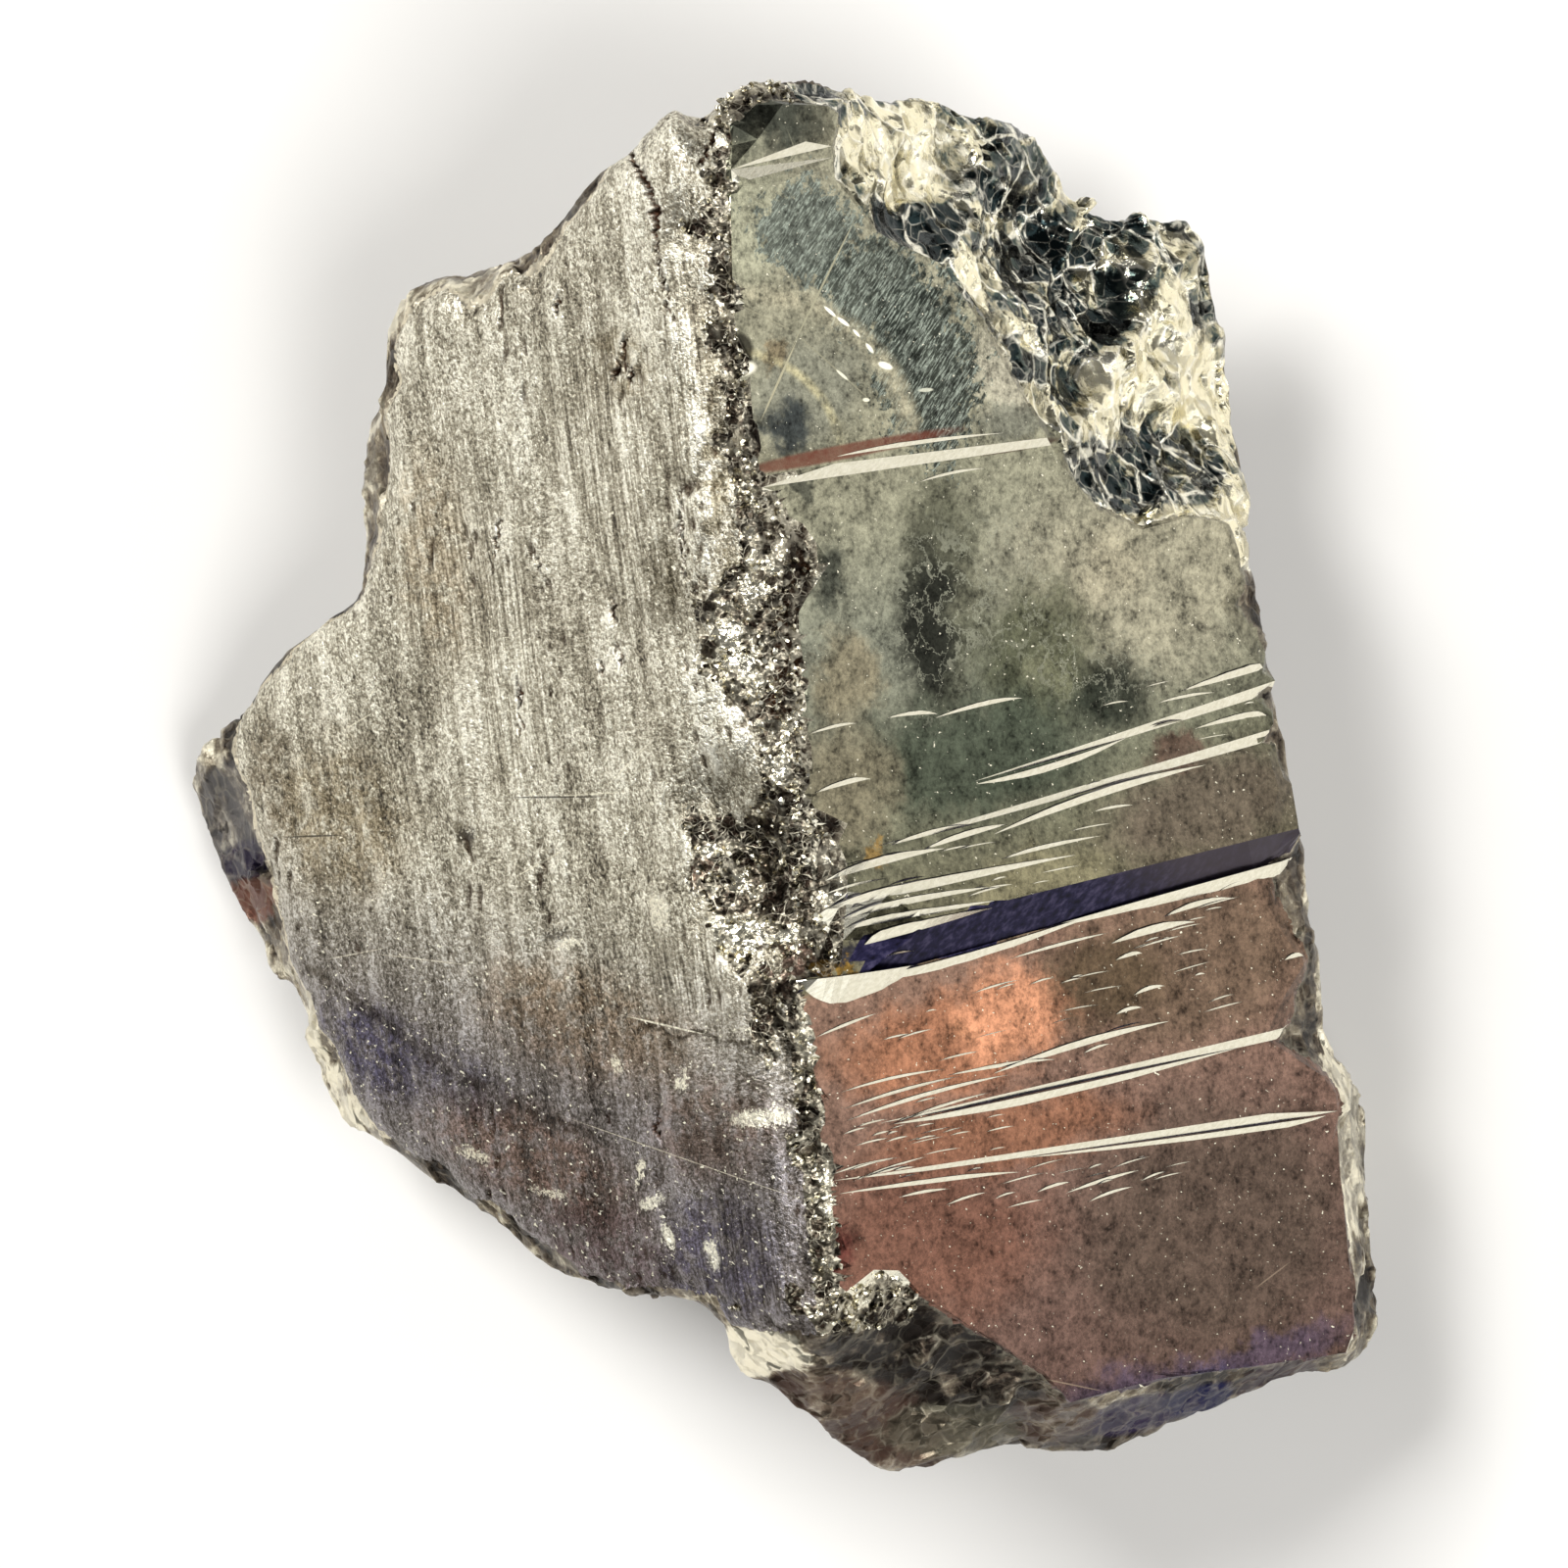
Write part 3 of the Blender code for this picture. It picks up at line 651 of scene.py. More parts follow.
def finish(tree, shader, colour, rough, height=None, depth=MM, strength=1.0):
    """Gives a shader its colour, its roughness and its fine relief, depth in metres."""
    feed(tree, shader.inputs["Base Color"], colour)
    feed(tree, shader.inputs["Roughness"], rough)
    if height is not None:
        bump = add(tree, "Bump", {"Height": height, "Distance": depth, "Strength": strength})
        feed(tree, shader.inputs["Normal"], bump)


def cells(tree, place, size):
    """Small broken faces of a size in millimetres: a number for each face, how far its border
    lies as a share of its size, and its own tilt as a height in millimetres."""
    scale = tuple(1.0 / length for length in size)
    scaled = add(tree, "VectorMath", (place, scale), operation="MULTIPLY")
    inputs = {"Vector": scaled, "Scale": 1.0, "Randomness": 1.0}
    face = add(tree, "TexVoronoi", inputs, feature="F1").outputs
    chance = add(tree, "SeparateColor", (face["Color"],))
    border = add(tree, "TexVoronoi", inputs, feature="DISTANCE_TO_EDGE").outputs["Distance"]
    offset = add(tree, "VectorMath", (scaled, face["Position"]), operation="SUBTRACT")
    lean = add(tree, "VectorMath", (face["Color"], (0.5, 0.5, 0.5)), operation="SUBTRACT")
    tilt = add(tree, "VectorMath", (offset, lean), operation="DOT_PRODUCT").outputs["Value"]
    return chance, border, add(tree, "Math", (tilt, size[0]), operation="MULTIPLY")


def turned_back(tree, place, turn):
    """A place turned back by an angle. Patches that share a place and an angle share the node."""
    if not turn:
        return place
    name = f"{place.name} turned {turn}"
    if name not in tree.nodes:
        turned = add(tree, "Mapping", {"Vector": place, "Rotation": (0.0, 0.0, -turn)})
        turned.name = name
    return tree.nodes[name]


def patch(tree, place, centre, half, turn=0.0, soft=0.45, fray=None, strength=1.0):
    """Its strength within an oval patch that fades at its border. fray makes the border ragged."""
    middle = Vector(centre)
    middle.rotate(Matrix.Rotation(-turn, 2))
    scale = (1.0 / half[0], 1.0 / half[1], 1.0)
    shift = (-middle.x / half[0], -middle.y / half[1], 0.0)
    inputs = (turned_back(tree, place, turn), scale, shift)
    local = add(tree, "VectorMath", inputs, operation="MULTIPLY_ADD")
    away = add(tree, "VectorMath", (local,), operation="LENGTH").outputs["Value"]
    if fray is not None:
        away = add(tree, "Math", (away, fray), operation="ADD")
    inputs = (away, 1.0 + soft, 1.0 - soft, 0.0, strength)
    return add(tree, "MapRange", inputs, interpolation_type="SMOOTHSTEP")


# ---------------------------------------------------------------- materials


# Brighter and darker places on the breaks: centre, half width and half length, turn, how much.
CRUST_TONES = (
    ((-1.9, 4.9), (1.5, 1.9), 0.0, 0.3), ((-3.6, 7.7), (1.3, 0.8), 0.6, -0.3),
    ((0.0, 6.5), (0.35, 5.0), -0.1, -0.35), ((-1.5, 19.5), (0.4, 6.5), 0.0, -0.25),
    ((-3.4, -1.6), (1.4, 0.4), -0.1, -0.35), ((-0.2, -2.1), (1.8, 0.5), -0.25, -0.4),
    ((-2.7, -2.4), (1.2, 0.3), 0.2, 0.35), ((-2.4, -3.2), (0.9, 0.5), 0.7, -0.35),
    ((-1.6, -3.5), (0.9, 0.7), 0.0, 0.3), ((-0.2, -4.2), (0.6, 1.1), 0.0, -0.25),
    ((-2.0, -6.1), (2.4, 1.0), 0.0, 0.3), ((-1.0, -9.2), (0.9, 1.6), 0.0, -0.05),
    ((-1.6, -4.6), (2.9, 2.2), 0.0, 0.14),
    ((0.9, -7.0), (0.8, 0.6), 0.3, -0.4),
)
BREAK_TONES = (
    ((5.1, 26.6), (3.4, 2.2), 0.0, 0.3), ((17.1, 20.2), (1.6, 2.0), 0.0, 0.3),
    ((15.6, 18.0), (2.6, 1.7), 0.2, 0.25), ((17.6, 17.0), (1.4, 2.4), 0.0, 0.26),
    ((6.5, 23.6), (2.5, 0.95), -0.1, -0.42), ((9.0, 25.3), (1.5, 0.9), -0.2, -0.4),
    ((11.0, 21.1), (1.7, 1.9), 0.3, -0.25), ((9.4, 19.8), (0.8, 1.2), 0.5, -0.25),
    ((12.1, 18.7), (1.4, 0.6), 0.2, -0.25), ((13.2, 14.0), (1.5, 1.0), 0.0, -0.4),
    ((17.0, 13.9), (2.0, 1.7), 0.0, -0.4), ((14.6, 12.6), (1.6, 0.8), -0.2, -0.4),
    ((14.8, 23.8), (1.0, 1.0), 0.0, -0.2), ((11.6, 23.6), (1.6, 0.8), -0.5, -0.2),
)
RIM_TONES = (
    ((4.0, -25.5), (7.0, 3.4), -0.3, -0.13), ((-1.3, -23.5), (2.2, 1.1), 0.0, 0.85),
    ((24.4, -13.5), (1.2, 7.0), 0.0, 0.5), ((-18.6, -13.2), (1.1, 1.5), 0.5, 0.34),
    ((-20.0, -11.0), (1.1, 1.9), 0.3, 0.34), ((-22.0, -7.0), (1.2, 1.2), 0.3, 0.15),
    ((-17.4, 14.0), (1.4, 3.6), 0.0, 0.25), ((-13.0, 21.4), (1.6, 1.2), 0.3, 0.3),
    ((-17.0, 21.0), (1.6, 1.6), 0.0, 0.2), ((-19.6, -15.0), (1.4, 2.0), 0.5, 0.3),
)
# Films of colour on the breaks: centre, half width and half length, turn, colour, strength.
CRUST_TINTS = (
    ((-3.9, -3.3), (1.0, 0.9), 0.0, "5E4A3E", 0.7), ((0.1, -7.0), (0.8, 0.7), 0.2, "6E5A4E", 0.9),
    ((1.9, -7.4), (0.9, 0.35), -0.3, "6E5420", 0.8), ((0.1, 6.5), (0.3, 4.6), -0.1, "2C1D12", 0.7),
)
RIM_TINTS = (
    ((-24.2, -1.0), (1.4, 2.4), 0.0, "6E6C6C", 0.5), ((-23.4, -3.0), (1.5, 0.85), 0.3, "2A2438", 0.9),
    ((-23.2, -4.8), (1.3, 1.0), 0.3, "6E4A3E", 0.9), ((24.6, -10.0), (0.8, 1.2), 0.0, "C8B070", 0.6),
    ((3.0, -26.5), (4.0, 2.0), -0.4, "5A443A", 0.6), ((15.0, -26.6), (2.2, 0.9), 0.15, "2C2440", 0.9),
    ((18.0, -26.2), (1.6, 0.8), 0.2, "1E2044", 0.9), ((21.5, -25.3), (1.8, 0.9), 0.25, "3C3038", 0.8),
    ((11.5, -26.6), (2.0, 1.2), 0.0, "4A3A32", 0.8),
    ((7.0, -27.0), (3.0, 1.2), 0.0, "5C594B", 0.6),
)


def corner_value(tree, name):
    """One of the numbers stored on the lump's corners."""
    return add(tree, "Attribute", attribute_name=name).outputs["Fac"]


# Where the striated face carries growth lines, and where fine scales lie across them: centre,
# half width and half length, turn.
LINED = [
    ((-12.4, 6.8), (2.2, 7.6), 0.1), ((-7.4, 13.6), (2.6, 6.4), 0.1), ((-3.9, 15.5), (1.0, 7.0), 0.1),
    ((-15.8, 10.0), (1.0, 4.0), 0.1), ((-1.6, -19.6), (2.2, 2.6), 0.1), ((-3.6, -7.6), (1.8, 2.2), 0.1),
]
SCALED = [
    ((-12.6, -0.6), (0.7, 7.6), 0.1), ((-2.2, -12.4), (3.4, 3.4), 0.1), ((-9.2, 9.0), (1.6, 4.4), 0.1),
    ((-5.2, 2.6), (1.4, 1.6), 0.3),
]
# Films of colour and duller places on the striated face: centre, half width and half length,
# turn, colour that it is multiplied by, strength.
STRIATED_FILMS = [
    ((-17.4, -11.2), (2.6, 1.7), -0.75, "A4A2C4", 1.0), ((-13.4, -12.6), (2.2, 1.2), -0.5, "ACAABC", 0.8),
    ((-2.6, -19.8), (2.3, 2.9), -0.2, "BCBAD4", 1.0), ((-7.4, -19.4), (3.0, 2.0), -0.4, "C6B4B4", 1.0),
    ((-10.6, -15.6), (4.6, 1.9), -0.4, "EACCBA", 0.9), ((-8.2, -10.0), (4.6, 2.2), -0.3, "E6D2BE", 0.9),
    ((-2.8, -14.2), (2.4, 2.0), 0.2, "E4CCBC", 0.8), ((-19.0, -1.4), (3.0, 3.4), 0.1, "CEC5B6", 1.0),
    ((-14.6, 9.6), (1.6, 4.4), 0.1, "DCCFBE", 0.7), ((-5.0, 8.6), (1.0, 1.8), 0.0, "A4A096", 0.9),
    ((-2.6, 12.4), (0.6, 5.6), 0.1, "A8A294", 0.9), ((-6.6, 17.6), (1.0, 1.4), 0.0, "B4AC9C", 0.8),
    ((-18.0, -9.4), (3.4, 0.3), -0.58, "A29A8C", 0.9), ((-13.6, -12.2), (2.2, 0.26), -0.47, "988E80", 0.9),
    ((-9.4, -14.1), (2.4, 0.24), -0.35, "8E8478", 0.9), ((-3.4, -10.25), (3.0, 0.14), -0.1, "6E665A", 0.9),
    ((-1.2, -12.6), (1.0, 0.7), 0.2, "8A8278", 0.8), ((0.2, -9.8), (0.9, 0.6), 0.4, "6A665E", 0.9),
    ((-13.4, -2.0), (0.7, 0.6), 0.0, "8E887A", 0.8), ((-22.2, 0.6), (1.0, 2.6), 0.1, "BDB4A8", 0.8),
]
# Scratches on the striated face: centre, half width and half length, turn, colour.
STRIATED_MARKS = [
    ((-13.6, 3.7), (0.46, 0.03), -0.4, "EFE9D4"), ((-9.5, -0.25), (2.0, 0.04), 0.01, "3A342C"),
    ((-8.0, -0.12), (1.2, 0.03), 0.06, "E6DFC8"), ((-6.4, 1.2), (1.35, 0.035), 0.78, "EFE9D4"),
    ((-18.2, 3.0), (0.7, 0.03), 0.5, "E6DFC8"), ((-17.6, 4.2), (0.5, 0.03), 0.9, "E6DFC8"),
    ((-20.3, -1.95), (1.3, 0.04), 0.04, "342E26"), ((-10.2, -3.0), (1.2, 0.035), 0.5, "E6DFC8"),
    ((-4.9, -9.75), (1.6, 0.04), -0.2, "F2ECD6"), ((-4.2, -15.3), (4.9, 0.022), -0.3, "C8C0AC"),
    ((-15.4, -7.2), (1.8, 0.03), -0.1, "D8D0BC"), ((-18.4, -7.0), (1.2, 0.03), 0.2, "D8D0BC"),
]
# Chips on the striated face that show clean pyrite, in the same order.
STRIATED_CHIPS = [
    ((-6.0, -16.0), (0.12, 0.6), -0.3, "F2ECD6"), ((-5.5, -17.2), (0.5, 0.2), 0.5, "F5F0DC"),
    ((-4.9, -18.6), (0.26, 0.5), 0.3, "F5F0DC"), ((-2.9, -19.3), (0.3, 0.6), 0.3, "F5F0DC"),
    ((-0.9, -13.5), (1.2, 0.34), 0.1, "F2ECD6"), ((-9.9, -17.0), (0.8, 0.1), -0.15, "E6DFC8"),
    ((-13.2, -15.5), (0.7, 0.2), -0.3, "E6DFC8"), ((-4.2, -12.0), (0.16, 0.5), -0.4, "F2ECD6"),
    ((-7.0, -11.4), (0.12, 0.4), 0.2, "E6DFC8"), ((-8.9, -6.4), (0.6, 0.16), 0.1, "EFE9D4"),
    ((-5.2, -5.0), (0.3, 0.7), 0.2, "EFE9D4"), ((-0.9, -9.9), (1.2, 0.1), -0.05, "EFE9D4"),
    ((-9.5, -6.0), (0.6, 0.16), 0.2, "3A342C"), ((-13.4, -1.9), (0.3, 0.3), 0.0, "3A342C"),
]


def striated_pyrite(settings):
    """The left cube face: growth lines worn dull, so it is satin and streaked rather than bright."""
    material, tree, shader = metal("striated_pyrite")
    place = millimetres(tree)
    flat = flattened(tree, place)
    turn = -EDGE_TURN
    wander = pattern(tree, place, (1.6, 1.6, 1.6), 4.0, 0.65)
    across = add(tree, "MapRange", (wander, 0.3, 0.7, -0.7, 0.7))
    along = add(tree, "MapRange", (wander, 0.3, 0.7, 0.5, -0.5))
    push = add(tree, "CombineXYZ", (across, along))
    strayed = add(tree, "VectorMath", (flat, push), operation="ADD")
    wide = pattern(tree, place, (0.6, 9.0, 0.6), 4.0, 0.6, turn)
    line = pattern(tree, place, (0.13, 9.0, 0.13), 1.0, 0.5, turn)
    scale = pattern(tree, place, (0.6, 0.13, 0.3), 3.0, 0.65, turn + 0.15, 1.0)
    fleck = pattern(tree, place, (0.16, 0.26, 0.18), 3.0, 0.7, turn - 0.35, 0.9)
    grain = pattern(tree, place, (0.15, 0.15, 0.15), 2.0, 0.7)
    broad = pattern(tree, place, (2.6, 5.0, 2.6), 4.0, 0.65)
    # Painted light and shade: corners that stand above their neighbours turn lighter, sunk ones darker.
    lift = add(tree, "MapRange", (corner_value(tree, "relief"), -0.035, 0.035, -0.12, 0.12))
    fine = add(tree, "MapRange", (fleck, 0.36, 0.64), interpolation_type="SMOOTHSTEP")
    for places, lying, low, high in ((LINED, line, 0.34, 0.66), (SCALED, scale, 0.38, 0.62)):
        held = 0.0
        for centre, half, turned in places:
            share = patch(tree, strayed, centre, half, turned, 0.4)
            held = add(tree, "Math", (held, share), operation="MAXIMUM")
        sharp = add(tree, "MapRange", (lying, low, high), interpolation_type="SMOOTHSTEP")
        share = add(tree, "Math", (held, 0.75), operation="MULTIPLY")
        fine = add(tree, "Mix", {0: share, 2: fine, 3: sharp}).outputs[0]
    tone = add(tree, "Math", (wide, 0.6, lift), operation="MULTIPLY_ADD")
    tone = add(tree, "Math", (fine, 0.3, tone), operation="MULTIPLY_ADD")
    gritty = add(tree, "MapRange", (grain, 0.38, 0.62), interpolation_type="SMOOTHSTEP")
    tone = add(tree, "Math", (gritty, 0.22, tone), operation="MULTIPLY_ADD")
    tone = add(tree, "Math", (broad, 0.7, tone), operation="MULTIPLY_ADD")
    tone = add(tree, "Math", (tone, 0.39), operation="SUBTRACT")
    colour = add(
        tree, "ValToRGB", (tone,),
        stops=[(0.12, "2E2924"), (0.32, "736C5C"), (0.52, "ADA692"), (0.8, "FBF7E6")],
    )
    # Painted shade: the near end is darkened, a little towards violet.
    x, y, _ = add(tree, "SeparateXYZ", (place,)).outputs
    level = add(tree, "Math", (x, 0.25, y), operation="MULTIPLY_ADD")
    far = add(tree, "MapRange", (level, -16.0, -5.0), interpolation_type="SMOOTHSTEP")
    inputs = {0: far, 6: (*hex_colour("A4A1AE"), 1.0), 7: (1.0,) * 4}
    shade = add(tree, "Mix", inputs, data_type="RGBA").outputs[2]
    inputs = {0: 1.0, 6: colour, 7: shade}
    colour = add(tree, "Mix", inputs, data_type="RGBA", blend_type="MULTIPLY").outputs[2]
    blotch = pattern(tree, place, (0.8, 0.8, 0.8), 3.0, 0.7)
    blotch = add(tree, "MapRange", (blotch, 0.4, 0.55, 0.3, 1.0), interpolation_type="SMOOTHSTEP")
    for centre, half, turned, tint, strength in STRIATED_FILMS:
        share = patch(tree, strayed, centre, half, turned, strength=strength)
        share = add(tree, "Math", (share, blotch), operation="MULTIPLY")
        colour = tinted(tree, share, colour, tint, "MULTIPLY")
    across = add(tree, "MapRange", (blotch, 0.3, 1.0, -0.12, 0.12))
    along = add(tree, "MapRange", (grain, 0.3, 0.7, -0.25, 0.25))
    push = add(tree, "CombineXYZ", (across, along))
    ragged = add(tree, "VectorMath", (flat, push), operation="ADD")
    worn = add(tree, "MapRange", (fleck, 0.3, 0.55, 0.2, 0.9), interpolation_type="SMOOTHSTEP")
    for spot, marks in ((flat, STRIATED_MARKS), (ragged, STRIATED_CHIPS)):
        for centre, half, turned, tint in marks:
            share = patch(tree, spot, centre, half, turned, 0.3)
            share = add(tree, "Math", (share, worn), operation="MULTIPLY")
            colour = tinted(tree, share, colour, tint)
    specks = pattern(tree, place, (0.3, 0.2, 0.3), 2.0, 0.5, 0.3)
    specks = add(tree, "MapRange", (specks, 0.66, 0.72), interpolation_type="SMOOTHSTEP")
    inputs = {0: specks, 6: colour, 7: (*settings.bright, 1.0)}
    colour = add(tree, "Mix", inputs, data_type="RGBA").outputs[2]
    inputs = {0: corner_value(tree, "crack"), 6: colour, 7: (*settings.rust, 1.0)}
    colour = add(tree, "Mix", inputs, data_type="RGBA").outputs[2]
    rough = add(tree, "MapRange", (tone, 0.2, 0.8, 0.42, 0.3))
    height = add(tree, "Math", (fleck, 0.9, grain), operation="MULTIPLY_ADD")
    finish(tree, shader, colour, rough, height, 0.06 * MM, 0.9)
    return material


# Tarnish along the smooth face, from the near end to the far one.
TARNISH_STOPS = [
    (0.0, "5A463E"), (0.14, "665046"), (0.342, "70584A"), (0.347, "5C5744"), (0.446, "5E5D4C"),
    (0.589, "66675A"), (0.68, "767462"), (0.75, "7A7764"), (0.86, "7A7765"),
]
# Tarnish patches on the smooth face, with a painted green spot of light and a painted warm glow among
# them: centre, half width and half length, turn, colour, strength.
TARNISH_AND_REFLECTIONS = [
    ((-0.8, 27.6), (2.4, 1.4), 0.1, "34362F", 0.95),
    ((-1.6, 23.5), (1.3, 2.8), 0.0, "8A8974", 0.8),
    ((9.4, 17.6), (1.5, 1.8), 0.1, "979280", 0.9),
    ((9.8, 15.6), (1.6, 0.8), 0.2, "66665A", 0.8),
    ((1.0, 16.6), (2.4, 2.2), 0.0, "66665A", 0.7),
    ((0.2, 15.0), (0.9, 1.1), 0.0, "252A2C", 0.9),
    ((-0.4, 18.1), (0.6, 0.6), 0.0, "6E5A3C", 0.5),
    ((0.7, 12.2), (0.4, 0.6), 0.1, "35362F", 0.8),
    ((1.8, 8.6), (0.75, 1.5), 0.05, "34362F", 0.85),
    ((6.7, 8.6), (1.7, 4.9), 0.03, "4A4A3C", 0.85),
    ((15.5, 9.3), (6.4, 4.4), 0.2, "827D6A", 0.9),
    ((13.8, 9.4), (1.6, 1.6), 0.0, "8C8570", 0.6),
    ((10.8, 5.8), (2.6, 3.0), 0.1, "3F4130", 0.85),
    ((6.0, 6.9), (1.35, 3.4), 0.0, "1A1B17", 0.94), ((2.6, 4.6), (1.3, 1.8), 0.0, "6E6652", 0.8),
    # Painted reflection: a greenish spot of light.
    ((11.2, 4.4), (1.1, 1.1), 0.0, "5E5E4A", 0.9),
    ((13.9, 4.1), (1.5, 1.5), -0.3, "1F221C", 0.92),
    ((8.2, 1.4), (5.0, 2.6), 0.15, "353B30", 0.88), ((16.8, 1.5), (1.4, 0.8), 0.2, "46342C", 0.85),
    ((2.6, 0.2), (2.0, 2.6), 0.0, "6B6350", 0.7),
    ((3.8, -2.5), (0.35, 0.4), 0.0, "806638", 0.8),
    ((2.2, -6.9), (1.3, 0.45), 0.15, "232229", 0.9),
    ((2.5, -7.4), (0.7, 0.2), -0.5, "6E5420", 0.8),
    ((18.0, -0.8), (4.6, 2.2), 0.27, "544A3F", 0.85),
    ((11.0, -3.6), (2.6, 1.2), 0.25, "6E6850", 0.7),
    ((17.3, -7.4), (6.0, 3.4), 0.27, "5A4A3C", 0.9),
    ((13.6, -8.0), (2.6, 1.7), 0.2, "45392A", 0.8),
    ((18.5, -18.5), (6.0, 5.5), 0.0, "4A3E35", 0.88),
    # Painted reflection: a warm orange glow over the copper tarnish, in these three patches.
    ((6.8, -10.6), (4.5, 2.0), 0.2, "855A42", 0.85),
    ((9.3, -9.2), (2.2, 1.9), 0.3, "AA775A", 0.9),
    ((7.4, -9.9), (0.6, 0.5), 0.0, "9A6C50", 0.7),
    ((9.0, -14.4), (5.4, 1.5), 0.15, "744F3B", 0.85),
    ((6.0, -18.7), (4.8, 3.4), 0.0, "634437", 0.85),
    ((15.2, -25.6), (3.6, 1.2), 0.1, "453A46", 0.9),
    ((18.2, -25.4), (1.6, 0.7), 0.2, "3A3A52", 0.9),
    ((20.5, -24.3), (3.6, 0.8), 0.3, "463C4C", 0.7),
    ((1.9, -18.9), (0.9, 1.1), 0.0, "4A2420", 0.8),
]
# Patches that grew as dendrites, in the same order.
DENDRITES = [
    ((1.0, 22.9), (2.0, 2.3), 0.2, "474B44", 0.95),
    ((4.0, 20.7), (2.2, 2.3), 0.8, "373B35", 0.95),
    ((5.9, 17.9), (2.2, 3.9), 0.15, "282C27", 0.97),
]
# Streaks, scratches and chips with clean borders, in the same order.
STREAKS = [
    ((2.4, 14.0), (4.7, 0.3), 0.222, "63382C", 0.8),
    ((9.7, 14.45), (1.9, 0.18), 0.2, "47352A", 0.9),
    ((1.6, 20.9), (2.9, 0.04), 1.12, "98947C", 0.9),
    ((-0.2, 16.9), (1.7, 0.045), 1.158, "A29C82", 0.9),
    ((-1.0, 19.55), (1.57, 0.03), -0.428, "8C8872", 0.7),
    ((2.0, 17.55), (2.07, 0.03), -0.709, "8C8872", 0.7),
    ((1.9, 19.8), (0.3, 0.07), -0.7, "F0EDD8", 1.0),
    ((2.45, 19.4), (0.3, 0.08), -0.6, "F0EDD8", 1.0),
    ((3.0, 18.95), (0.2, 0.06), -0.8, "F0EDD8", 1.0),
    ((3.55, 18.35), (0.24, 0.08), -0.9, "F0EDD8", 1.0),
    ((4.2, 17.65), (0.3, 0.14), -0.3, "F0EDD8", 1.0),
    ((2.4, 17.2), (0.3, 0.06), -0.7, "E4E0C8", 0.9),
    ((3.4, 16.2), (0.14, 0.08), 0.0, "E4E0C8", 0.9),
    ((5.9, 16.7), (0.3, 0.08), 0.1, "C8C8B4", 0.8),
    ((-1.7, 18.2), (0.4, 0.6), 0.3, "25221C", 0.9),
    ((-1.75, 17.3), (0.6, 0.3), 0.2, "E8E2CC", 1.0),
    ((-1.75, 17.35), (0.32, 0.14), 0.2, "6F6B5C", 1.0),
    ((-0.2, 25.4), (1.5, 0.03), 0.9, "8C8A76", 0.8),
    ((0.6, 26.0), (1.3, 0.025), -1.2, "7C7A68", 0.7),
    ((-0.9, 24.9), (1.4, 0.03), 0.1, "7C7A68", 0.7),
    ((12.0, -25.0), (1.4, 0.03), -0.25, "8C7A68", 0.8),
    ((21.0, -20.8), (0.9, 0.03), 0.6, "8C7A68", 0.7),
]
# Where thin curly veins cross the darkest film: centre, half width and half length.
VEINED = [((6.0, 7.0), (1.8, 4.0)), ((13.0, 5.4), (2.6, 1.8)), ((9.0, 8.6), (2.4, 3.0))]
# Rings of painted reflection round a point: centre, radius, half width, colour, strength.
RING_REFLECTIONS = [
    ((-1.0, 14.0), 6.35, 0.7, "908A74", 0.85),
    ((-2.0, 13.6), 4.4, 0.3, "A09876", 0.75),
]


